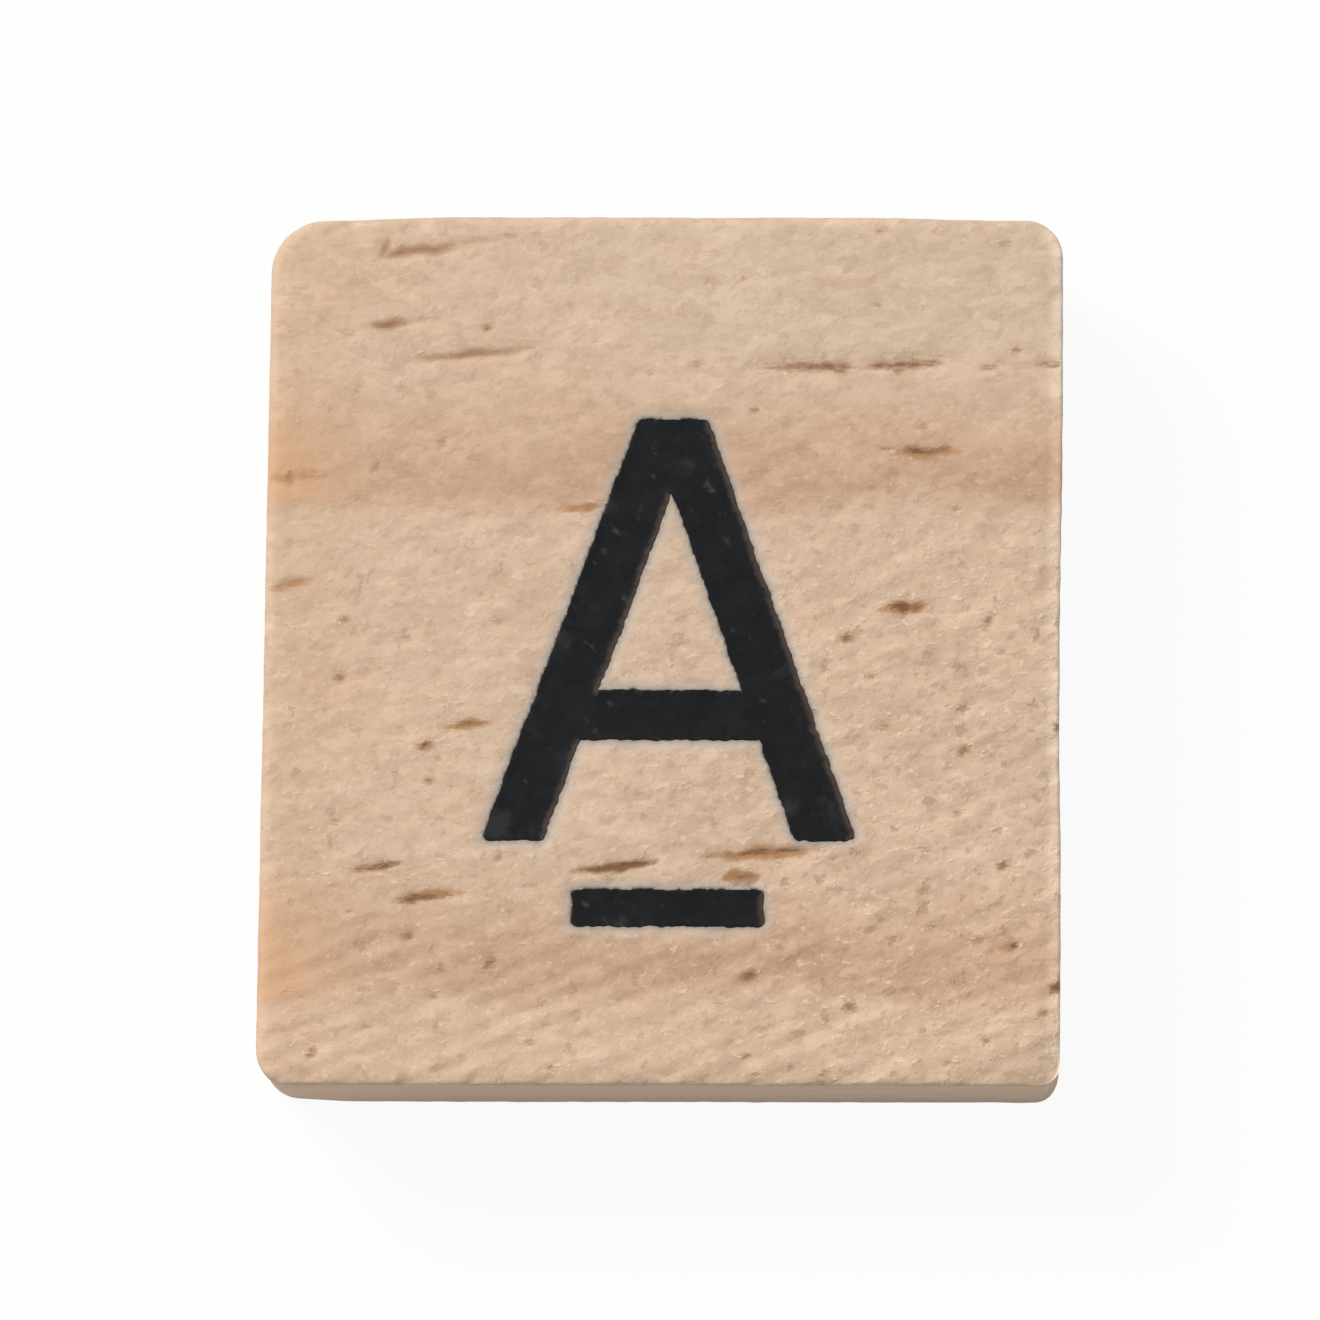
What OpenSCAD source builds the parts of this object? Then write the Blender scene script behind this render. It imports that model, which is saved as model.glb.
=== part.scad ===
// A letter tile: one block of softwood with a capital letter and an orientation bar stamped
// into its face, each stamp floored with a film of black ink.
// Millimetres. The origin is the middle of the block's underside, +Z points out of the printed
// face and +Y points to the head of the letter.

/* [Wood block] */
// Width of the block, along the grain
tile_w = 18.4; // [15:0.1:26]
// Length of the block, from the foot of the letter to its head
tile_l = 20; // [17:0.1:28]
// Thickness of the block
tile_t = 5; // [3:0.1:8]

/* [Sanded edges] */
// Corner radius at the head of the letter, left
corner_head_left = 1.25; // [0.5:0.05:3]
// Corner radius at the head of the letter, right
corner_head_right = 0.9; // [0.5:0.05:3]
// Corner radius at the foot of the letter, left
corner_foot_left = 0.8; // [0.5:0.05:3]
// Corner radius at the foot of the letter, right
corner_foot_right = 0.5; // [0.5:0.05:3]
// Radius sanded along the edges of the two faces
arris_r = 0.25; // [0.1:0.05:0.45]

/* [Stamp and ink] */
// Depth of the stamps below the face
stamp_depth = 0.2; // [0.1:0.02:0.6]
// Thickness of the ink film on the floor of each stamp
ink_t = 0.1; // [0.04:0.02:0.2]
// Radius of the corners of the stamping die
die_r = 0.15; // [0.05:0.01:0.3]

/* [Letter] */
// Height of the letter
letter_h = 9.7; // [7:0.1:12]
// Width of the letter across its feet
letter_w = 8.6; // [7:0.1:12]
// Width of the flat at the top of the letter
apex_w = 1.6; // [1:0.1:2.4]
// Width of a leg, measured along the foot line
leg_w = 1.42; // [0.8:0.02:2]
// Height of the crossbar above the foot line
crossbar_rise = 2.3; // [1.5:0.1:3.5]
// Thickness of the crossbar
crossbar_t = 1.15; // [0.8:0.05:1.6]
// Middle of the letter, to the right of the middle of the face
letter_x = 0.2; // [-1:0.1:1]
// Middle of the letter, towards its head from the middle of the face
letter_y = 0.4; // [0:0.1:1]

/* [Orientation bar] */
// Length of the bar
bar_l = 4.4; // [2:0.1:8]
// Thickness of the bar
bar_t = 0.85; // [0.6:0.05:1.4]
// Gap from the foot of the letter to the bar
bar_gap = 1.1; // [0.6:0.1:1.8]

/* [Hidden] */
$fn = 48;
die_facets = 32;
cut_over = 0.5;
stamp_z = tile_t - stamp_depth;
foot_y = letter_y - letter_h / 2;
bar_y = foot_y - bar_gap - bar_t / 2;

// Each corner as [its sign along X, its sign along Y, its radius, the turn of its quarter],
// anticlockwise from the head of the letter, right
corners = [
    [1, 1, corner_head_right, 0],
    [-1, 1, corner_head_left, 90],
    [-1, -1, corner_foot_left, 180],
    [1, -1, corner_foot_right, 270]
];
function radius_of(corner) = corner[2];
function turn_of(corner) = corner[3];

// Where the centre of a corner's radius lies
function centre_of(corner) = [
    corner[0] * (tile_w / 2 - radius_of(corner)),
    corner[1] * (tile_l / 2 - radius_of(corner))
];

// Where a corner's arc starts and ends, drawn in from the edge by inset
function arc_start(corner, inset) =
    centre_of(corner) + (radius_of(corner) - inset) * [cos(turn_of(corner)), sin(turn_of(corner))];
function arc_end(corner, inset) =
    centre_of(corner) + (radius_of(corner) - inset) * [-sin(turn_of(corner)), cos(turn_of(corner))];

// A quarter of a disc in the first quadrant
module quarter_disc(radius) {
    intersection() {
        circle(r = radius);
        square(2 * radius);
    }
}

// The plan of the block, drawn in from its edge all round by inset
module plan(inset) {
    polygon([
        for (corner = corners)
            for (place = [arc_start(corner, inset), centre_of(corner), arc_end(corner, inset)])
                place
    ]);
    for (corner = corners)
        translate(centre_of(corner))
            rotate(turn_of(corner))
                quarter_disc(radius_of(corner) - inset);
}

// The rounded strip along one side, from the end of one corner's arc to the start of the next
module side_round(corner, next) {
    start = arc_end(corner, arris_r);
    end = arc_start(next, arris_r);
    translate(end)
        rotate([90, 0, turn_of(next)])
            linear_extrude(norm(end - start))
                quarter_disc(arris_r);
}

// The rounded strip round one corner
module corner_round(corner) {
    translate(centre_of(corner))
        rotate(turn_of(corner))
            rotate_extrude(angle = 90)
                translate([radius_of(corner) - arris_r, 0])
                    quarter_disc(arris_r);
}

// The layer of the block that holds the sanded edge of one face, from its foot at z = 0
module sanded_layer() {
    linear_extrude(arris_r) plan(arris_r);
    for (i = [0:3]) {
        corner_round(corners[i]);
        side_round(corners[i], corners[(i + 1) % 4]);
    }
}

// The block before it is stamped
module sawn_block() {
    translate([0, 0, arris_r]) linear_extrude(tile_t - 2 * arris_r) plan(0);
    translate([0, 0, tile_t - arris_r]) sanded_layer();
    translate([0, 0, arris_r]) mirror([0, 0, 1]) sanded_layer();
}

// Softens the corners of a die's outline, the outer and the inner ones
module die_corners() {
    offset(r = die_r, $fn = die_facets)
        offset(delta = -2 * die_r)
            offset(r = die_r, $fn = die_facets)
                children();
}

// A leg of the letter, from half the foot line to half the flat at the top
module letter_leg(side) {
    polygon([
        [side * letter_w / 2, 0],
        [side * (letter_w / 2 - leg_w), 0],
        [side * (apex_w / 2 - leg_w), letter_h],
        [side * apex_w / 2, letter_h]
    ]);
}

// The letter's outline, with its foot line on y = 0
module letter_shape() {
    lean = (letter_w - apex_w) / 2 / letter_h;
    mid_rise = crossbar_rise + crossbar_t / 2;
    bar_half = letter_w / 2 - leg_w / 2 - lean * mid_rise;
    die_corners()
        intersection() {
            union() {
                letter_leg(1);
                letter_leg(-1);
                translate([-bar_half, crossbar_rise]) square([2 * bar_half, crossbar_t]);
            }
            polygon([
                [-letter_w / 2, 0],
                [letter_w / 2, 0],
                [apex_w / 2, letter_h],
                [-apex_w / 2, letter_h]
            ]);
        }
}

module placed_letter() {
    translate([letter_x, foot_y]) letter_shape();
}

module placed_bar() {
    translate([letter_x, bar_y])
        die_corners() square([bar_l, bar_t], center = true);
}

module wood_block() {
    color("burlywood")
        difference() {
            sawn_block();
            translate([0, 0, stamp_z]) linear_extrude(stamp_depth + cut_over) placed_letter();
            translate([0, 0, stamp_z]) linear_extrude(stamp_depth + cut_over) placed_bar();
        }
}

module letter_ink() {
    color([0.12, 0.13, 0.14]) translate([0, 0, stamp_z]) linear_extrude(ink_t) placed_letter();
}

module bar_ink() {
    color([0.12, 0.13, 0.14]) translate([0, 0, stamp_z]) linear_extrude(ink_t) placed_bar();
}

wood_block();
letter_ink();
bar_ink();
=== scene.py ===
"""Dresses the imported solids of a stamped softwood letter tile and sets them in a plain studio.

Every mesh is in metres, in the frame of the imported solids: the origin is the middle of the block's
underside, +Z leaves the printed face and +Y runs to the head of the letter. Marks on the face are
written in millimetres from the middle of the face, and so are the patterns in the wood and the ink.
"""

import logging
import math
from collections.abc import Iterator
from contextlib import contextmanager
from dataclasses import dataclass, field
from enum import Enum

import bpy
import numpy as np
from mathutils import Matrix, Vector, kdtree, noise


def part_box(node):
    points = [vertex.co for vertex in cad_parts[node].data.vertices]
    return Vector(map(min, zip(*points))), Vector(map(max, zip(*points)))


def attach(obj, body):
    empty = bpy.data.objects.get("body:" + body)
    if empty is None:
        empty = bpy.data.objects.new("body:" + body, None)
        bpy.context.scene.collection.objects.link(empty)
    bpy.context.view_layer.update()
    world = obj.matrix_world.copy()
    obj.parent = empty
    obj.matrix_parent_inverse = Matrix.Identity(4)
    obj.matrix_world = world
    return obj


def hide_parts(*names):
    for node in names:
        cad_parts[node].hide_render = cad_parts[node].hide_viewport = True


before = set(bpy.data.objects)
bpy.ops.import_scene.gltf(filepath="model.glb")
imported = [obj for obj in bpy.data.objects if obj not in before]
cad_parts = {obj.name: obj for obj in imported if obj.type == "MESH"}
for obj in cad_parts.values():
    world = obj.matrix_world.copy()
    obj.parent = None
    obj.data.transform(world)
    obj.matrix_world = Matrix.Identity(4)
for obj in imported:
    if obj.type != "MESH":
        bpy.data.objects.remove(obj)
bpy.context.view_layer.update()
BLOCK_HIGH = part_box("wood_block")[1]

LOG = logging.getLogger("letter_tile")
MM = 0.001
TINY = 1e-12
MERGE_WITHIN = 1e-7
BODY = "root"
BAKE_MAP = "OFBake"
# How far the head of the tile leans to the right of its foot, each way from the middle
LEAN = 0.1 * MM
# A face whose normal has more than this along Z looks up or down
STEEP = 0.35
# The sides of the largest face that is left whole
MOST_SIDES = 4
# Noise nodes swing about this value
MIDDLE = 0.5
# As a colour darkens, its green and its blue fall faster than its red, by these powers
GREEN_FALL = 1.17
BLUE_FALL = 1.35
# Browns that several layers of the wood share: resin, and fibre torn or cut across
RESIN_BROWN = (0.38, 0.21, 0.11)
TORN_BROWN = (0.4, 0.25, 0.155)
# Where the colour mix node has its two colours and its result
MIX_COLOURS = (6, 7)
MIX_RESULT = 2
# How the photograph's perspective narrows, shifts, stretches and bends places on the face
READ_NARROWING = 0.0009
READ_SHIFT = 0.093
READ_STRETCH = 0.0041
READ_BEND = 0.00086

Pair = tuple[float, float]
Triple = tuple[float, float, float]
Box = tuple[Pair, Pair]
Colour = Triple
Socket = bpy.types.NodeSocket
Value = Socket | float | tuple[float, ...]


class Part(Enum):
    """What edit mode selects."""

    VERT = "VERT"
    EDGE = "EDGE"
    FACE = "FACE"


class Keep(Enum):
    """Which part of an object is kept when another one cuts it."""

    OUTSIDE = "DIFFERENCE"
    INSIDE = "INTERSECT"


class Mix(Enum):
    """How one colour goes over another."""

    COVER = "MIX"
    TINT = "MULTIPLY"


class View(Enum):
    """The two axes along which some faces are laid flat in the bake map."""

    FROM_ABOVE = (0, 1)
    FROM_FOOT = (0, 2)
    FROM_END = (1, 2)
    FROM_END_UPRIGHT = (2, 1)


class ResinTint(Enum):
    """How a resin canal has coloured the wood, as shares of brown and of amber."""

    BROWN = (1.0, 0.15)
    WARM = (1.0, 0.55)
    AMBER = (0.3, 1.0)
    FAINT = (0.35, 0.1)


def link(name: str, data: bpy.types.ID) -> bpy.types.Object:
    """Puts new data into the scene as an object.

    Args:
        name: the object's name.
        data: a mesh, a lamp or a camera.

    Returns:
        The new object.
    """
    made = bpy.data.objects.new(name, data)
    bpy.context.scene.collection.objects.link(made)
    return made


def aim(obj: bpy.types.Object, place: Triple, target: Vector) -> None:
    """Puts a lamp or a camera at a place and turns it to face a target."""
    obj.location = place
    obj.rotation_euler = (target - obj.location).to_track_quat("-Z", "Y").to_euler()


def hold(obj: bpy.types.Object) -> None:
    """Selects one object alone and makes it active.

    Args:
        obj: the object.
    """
    bpy.ops.object.select_all(action="DESELECT")
    obj.select_set(True)
    bpy.context.view_layer.objects.active = obj


@contextmanager
def editing(obj: bpy.types.Object, part: Part) -> Iterator[None]:
    """Opens one object in edit mode, selecting one kind of part, and leaves it again.

    Args:
        obj: the object to edit.
        part: what the operators inside select.
    """
    hold(obj)
    bpy.context.tool_settings.mesh_select_mode = [kind is part for kind in Part]
    bpy.ops.object.mode_set(mode="EDIT")
    yield
    bpy.ops.object.mode_set(mode="OBJECT")


def pick(mesh: bpy.types.Mesh, part: Part, flags: np.ndarray) -> None:
    """Selects the flagged parts of a mesh and nothing else, before edit mode opens.

    Args:
        mesh: the mesh to select in.
        part: the kind of part that the flags are for.
        flags: one true or false for each part of that kind.
    """
    kinds = {Part.VERT: mesh.vertices, Part.EDGE: mesh.edges, Part.FACE: mesh.polygons}
    for kind, items in kinds.items():
        items.foreach_set("select", flags if kind is part else np.zeros(len(items), bool))


def add_grid(name: str, across: int, along: int) -> bpy.types.Object:
    """Adds a flat square grid, from -1 to 1 along X and along Y.

    Args:
        name: the object's name.
        across: its cells along X.
        along: its cells along Y.

    Returns:
        The new object.
    """
    bpy.ops.object.select_all(action="DESELECT")
    bpy.ops.mesh.primitive_grid_add(x_subdivisions=across, y_subdivisions=along, size=2.0)
    grid = bpy.context.object
    grid.name = name
    return grid


def draw_down(grid: bpy.types.Object, drops: list[float], border: float = 0.0) -> None:
    """Draws the rim of a grid down in rings, and closes it below.

    Args:
        grid: the object, which becomes a closed solid.
        drops: how far each ring lies below the last one.
        border: how far the underside is inset, where it is.
    """
    with editing(grid, Part.EDGE):
        bpy.ops.mesh.select_all(action="DESELECT")
        bpy.ops.mesh.select_non_manifold()
        for drop in drops:
            bpy.ops.mesh.extrude_edges_move(TRANSFORM_OT_translate={"value": (0.0, 0.0, -drop)})
        bpy.ops.mesh.edge_face_add()
        if border:
            bpy.ops.mesh.inset(thickness=border)
        bpy.ops.mesh.select_all(action="SELECT")
        bpy.ops.mesh.normals_make_consistent(inside=False)


def cut(obj: bpy.types.Object, tool: bpy.types.Object, keep: Keep) -> None:
    """Cuts an object by another with a Boolean modifier, and uses the other up.

    Args:
        obj: the object that is changed.
        tool: the object that it is cut by, which is removed.
        keep: the part that is kept.
    """
    hold(obj)
    modifier = obj.modifiers.new("Boolean", "BOOLEAN")
    modifier.operation = keep.value
    modifier.solver = "MANIFOLD"
    modifier.object = tool
    bpy.ops.object.modifier_apply(modifier=modifier.name)
    bpy.data.objects.remove(tool)


def split_many_sided(obj: bpy.types.Object) -> None:
    """Turns faces with too many sides into triangles, so that they can bend.

    Args:
        obj: the object to change.
    """
    with editing(obj, Part.FACE):
        bpy.ops.mesh.select_all(action="DESELECT")
        bpy.ops.mesh.select_face_by_sides(number=MOST_SIDES, type="GREATER")
        bpy.ops.mesh.quads_convert_to_tris(quad_method="BEAUTY", ngon_method="BEAUTY")


def smooth(obj: bpy.types.Object, degrees: float) -> None:
    """Shades an object smooth where its faces meet at less than an angle."""
    hold(obj)
    bpy.ops.object.shade_smooth_by_angle(angle=math.radians(degrees))


def paint(obj: bpy.types.Object, finish: bpy.types.Material) -> None:
    """Gives every face of an object one material, in place of what its making left behind.

    Args:
        obj: the object to paint.
        finish: the material.
    """
    obj.data.materials.clear()
    obj.data.materials.append(finish)
    obj.data.polygons.foreach_set("material_index", np.zeros(len(obj.data.polygons), int))


def rows(items: bpy.types.bpy_prop_collection, name: str) -> np.ndarray:
    """Three numbers for each of a mesh's parts.

    Args:
        items: the vertices or the faces of a mesh.
        name: the property that holds the three.

    Returns:
        One row for each part.
    """
    flat = np.empty(len(items) * 3)
    items.foreach_get(name, flat)
    return flat.reshape(-1, 3)


def places(mesh: bpy.types.Mesh) -> np.ndarray:
    """The vertices of a mesh as rows of x, y and z."""
    return rows(mesh.vertices, "co")


def move_to(mesh: bpy.types.Mesh, points: np.ndarray) -> None:
    """Moves the vertices of a mesh to rows of x, y and z."""
    mesh.vertices.foreach_set("co", points.ravel())
    mesh.update()


def store(mesh: bpy.types.Mesh, name: str, values: np.ndarray) -> None:
    """Keeps one number for each vertex as a named attribute, which materials read."""
    layer = mesh.attributes.new(name, "FLOAT", "POINT")
    layer.data.foreach_set("value", values.astype(np.float32))


def lean_over(points: np.ndarray) -> None:
    """Leans rows of x, y and z over with the tile, narrowed so that it keeps its width."""
    points[:, 0] *= 1.0 - LEAN / BLOCK_HIGH.x
    points[:, 0] += LEAN * points[:, 1] / BLOCK_HIGH.y


def turned(points: np.ndarray, degrees: float) -> np.ndarray:
    """Looks at places from axes that are turned anticlockwise.

    Args:
        points: rows of x and y, with anything after them left unread.
        degrees: the angle of the turn.

    Returns:
        Rows of x and y along the turned axes.
    """
    angle = math.radians(degrees)
    x, y = points[:, 0], points[:, 1]
    along = x * math.cos(angle) + y * math.sin(angle)
    across = y * math.cos(angle) - x * math.sin(angle)
    return np.column_stack((along, across))


def as_read(flat: np.ndarray) -> np.ndarray:
    """Places on the face as they are read off the photograph, with its perspective still in them.

    Args:
        flat: rows of x and y on the face, in millimetres.

    Returns:
        Rows of x and y as the streaks and pits are written.
    """
    x, y = flat[:, 0], flat[:, 1]
    seen_x = x * (1.0 - READ_NARROWING * y)
    seen_y = y + READ_SHIFT + READ_STRETCH * y - READ_BEND * y**2
    return np.column_stack((seen_x, seen_y))


@dataclass(frozen=True)
class Patch:
    """Some faces of a mesh, how they are seen, and the box of the bake map that they are laid out in."""

    faces: np.ndarray
    view: View
    room: Box


class Facing:
    """Which way each face of a mesh looks: up, down, or out of a wall, and along which side."""

    def __init__(self, mesh: bpy.types.Mesh) -> None:
        """Sorts the faces by their normals.

        Args:
            mesh: the mesh.
        """
        self.mesh = mesh
        normals = rows(mesh.polygons, "normal")
        self.up = normals[:, 2] > STEEP
        self.down = normals[:, 2] < -STEEP
        self.wall = ~self.up & ~self.down
        self.lengthwise = np.abs(normals[:, 1]) < np.abs(normals[:, 0])
        self.left = normals[:, 0] < 0
        self.foot = normals[:, 1] < 0

    def lay_out(self, patches: tuple[Patch, ...]) -> None:
        """Makes the map that the finish is baked through, each patch seen flat along two axes.

        Args:
            patches: faces that together are the whole mesh, which loses any other map.
        """
        mesh = self.mesh
        while mesh.uv_layers:
            mesh.uv_layers.remove(mesh.uv_layers[0])
        layer = mesh.uv_layers.new(name=BAKE_MAP)
        corners = np.empty(len(mesh.loops), int)
        mesh.loops.foreach_get("vertex_index", corners)
        sides = np.empty(len(mesh.polygons), int)
        mesh.polygons.foreach_get("loop_total", sides)
        points = places(mesh)[corners]
        spots = np.zeros((len(corners), 2))
        for patch in patches:
            chosen = np.repeat(patch.faces, sides)
            local = points[chosen][:, patch.view.value]
            local -= local.min(axis=0)
            low, high = np.array(patch.room)
            spots[chosen] = low + local / local.max(axis=0) * (high - low)
        layer.uv.foreach_set("vector", spots.ravel())


@dataclass(frozen=True)
class Span:
    """A smooth step between two limits, whichever is larger, and the values that it joins."""

    low: float
    high: float
    start: float = 0.0
    end: float = 1.0

    def at(self, values: np.ndarray) -> np.ndarray:
        """The step at each of some values."""
        t = np.clip((values - self.low) / (self.high - self.low), 0.0, 1.0)
        return self.start + (self.end - self.start) * t * t * (3.0 - 2.0 * t)


@dataclass(frozen=True)
class Cloud:
    """A noise pattern in a material: its cells to the millimetre, how it breaks up, and its turn."""

    cells: Triple
    detail: float = 2.0
    roughness: float = 0.5
    turn: float = 0.0


@dataclass(frozen=True)
class Ripple:
    """Smooth noise over a surface: its height, its pitch along and across, its seed and its turn."""

    height: float
    pitch: Pair
    seed: float
    turn: float = 0.0

    def at(self, points: np.ndarray, shift: float = 0.0) -> np.ndarray:
        """How high the ripples are at some places.

        Args:
            points: rows of x and y in the unit of the pitch, with anything after them left unread.
            shift: added to the seed, so that two uses differ.

        Returns:
            One value for each row, between about minus the height and the height.
        """
        spots = turned(points, self.turn) / self.pitch
        seed = self.seed + shift
        return self.height * np.array([noise.noise((x, y, seed)) for x, y in spots])


@dataclass(frozen=True)
class Ridges:
    """Parallel ridges left by a sanding belt, in millimetres, which wander, come and go."""

    lean: float
    pitch: float
    seed: float
    drift_reach: float = 0.4
    drift_pitch: Pair = (5.0, 2.0)
    gap_reach: float = 0.7
    gap_pitch: Pair = (3.4, 0.9)
    gap_seed: float = 4.0

    def at(self, flat: np.ndarray) -> np.ndarray:
        """How high the ridges are at some places.

        Args:
            flat: rows of x and y in millimetres.

        Returns:
            One value for each row, from about -1 to 1.
        """
        along = turned(flat, self.lean)
        drift = Ripple(self.drift_reach, self.drift_pitch, self.seed).at(along)
        gaps = 1.0 + Ripple(self.gap_reach, self.gap_pitch, self.seed + self.gap_seed).at(along)
        return gaps * np.sin(2 * math.pi * (along[:, 1] / self.pitch + drift))


# How a resin streak sways from its line, swells and clumps along its length
STREAK_SWAY = Ripple(0.35, (0.45, 1.0), 0.0)
STREAK_SWELL = Ripple(0.5, (0.3, 1.0), 30.0)
STREAK_CLUMP = Ripple(0.4, (0.19, 1.0), 60.0)
# A streak's soft half width and the least share of it at the ends, and how far off it is worked out
STREAK_SOFTNESS = 0.7
STREAK_END = 0.5
STREAK_REACH = 4.0
# How a pit is drawn out along its lean, how ragged its edge is, and how far off it is worked out
PIT_SQUEEZE = (0.7, 1.15)
PIT_RAG = Ripple(0.8, (0.11, 0.08), 0.0)
PIT_REACH = 3.0
PIT_DEPTH = 0.8


@dataclass(frozen=True)
class ResinStreak:
    """A resin canal that the saw laid open along the face, in millimetres.

    It is a thin lens, stronger towards its left end where left is above 0. Where ragged is 0 its
    edges are even.
    """

    x: float
    y: float
    length: float
    lean: float
    width: float = 0.16
    strength: float = 0.8
    left: float = 0.0
    tint: ResinTint = ResinTint.BROWN
    ragged: float = 1.0

    def show(self, points: np.ndarray) -> np.ndarray:
        """How strongly the streak shows at some places.

        Args:
            points: rows of x and y in millimetres.

        Returns:
            One value for each row, from 0 to about 1.
        """
        local = turned(points - (self.x, self.y), self.lean)
        reach = (self.length / 2, STREAK_REACH * self.width)
        near = np.flatnonzero((np.abs(local) < reach).all(axis=1))
        along = local[near, 0] / (self.length / 2)
        strip = np.column_stack((local[near, 0], np.full(len(near), self.x)))
        sway = self.width * STREAK_SWAY.at(strip, self.y)
        swell = 1.0 + self.ragged * STREAK_SWELL.at(strip, self.y)
        clump = 1.0 + self.ragged * STREAK_CLUMP.at(strip, self.y)
        taper = np.sqrt(1.0 - along**2)
        soft = STREAK_SOFTNESS * self.width * swell * np.maximum(taper, STREAK_END)
        across = (local[near, 1] - sway) / soft
        bias = 1.0 - self.left * along
        shows = np.zeros(len(points))
        shows[near] = self.strength * bias * clump * taper * np.exp(-(across**2))
        return shows


@dataclass(frozen=True)
class Pit:
    """A small torn-out spot in the face, in millimetres, a little longer along its lean."""

    x: float
    y: float
    radius: float = 0.1
    strength: float = 0.48
    lean: float = 14.0

    def show(self, points: np.ndarray) -> np.ndarray:
        """How strongly the pit shows at some places.

        Args:
            points: rows of x and y in millimetres.

        Returns:
            One value for each row, from 0 to about 1.
        """
        offset = turned(points - (self.x, self.y), self.lean) * PIT_SQUEEZE / self.radius
        near = np.flatnonzero((np.abs(offset) < PIT_REACH).all(axis=1))
        ragged = 1.0 + PIT_RAG.at(points[near], self.x)
        shows = np.zeros(len(points))
        shows[near] = self.strength * np.exp(-(offset[near] ** 2).sum(axis=1) * ragged)
        return shows


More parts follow.
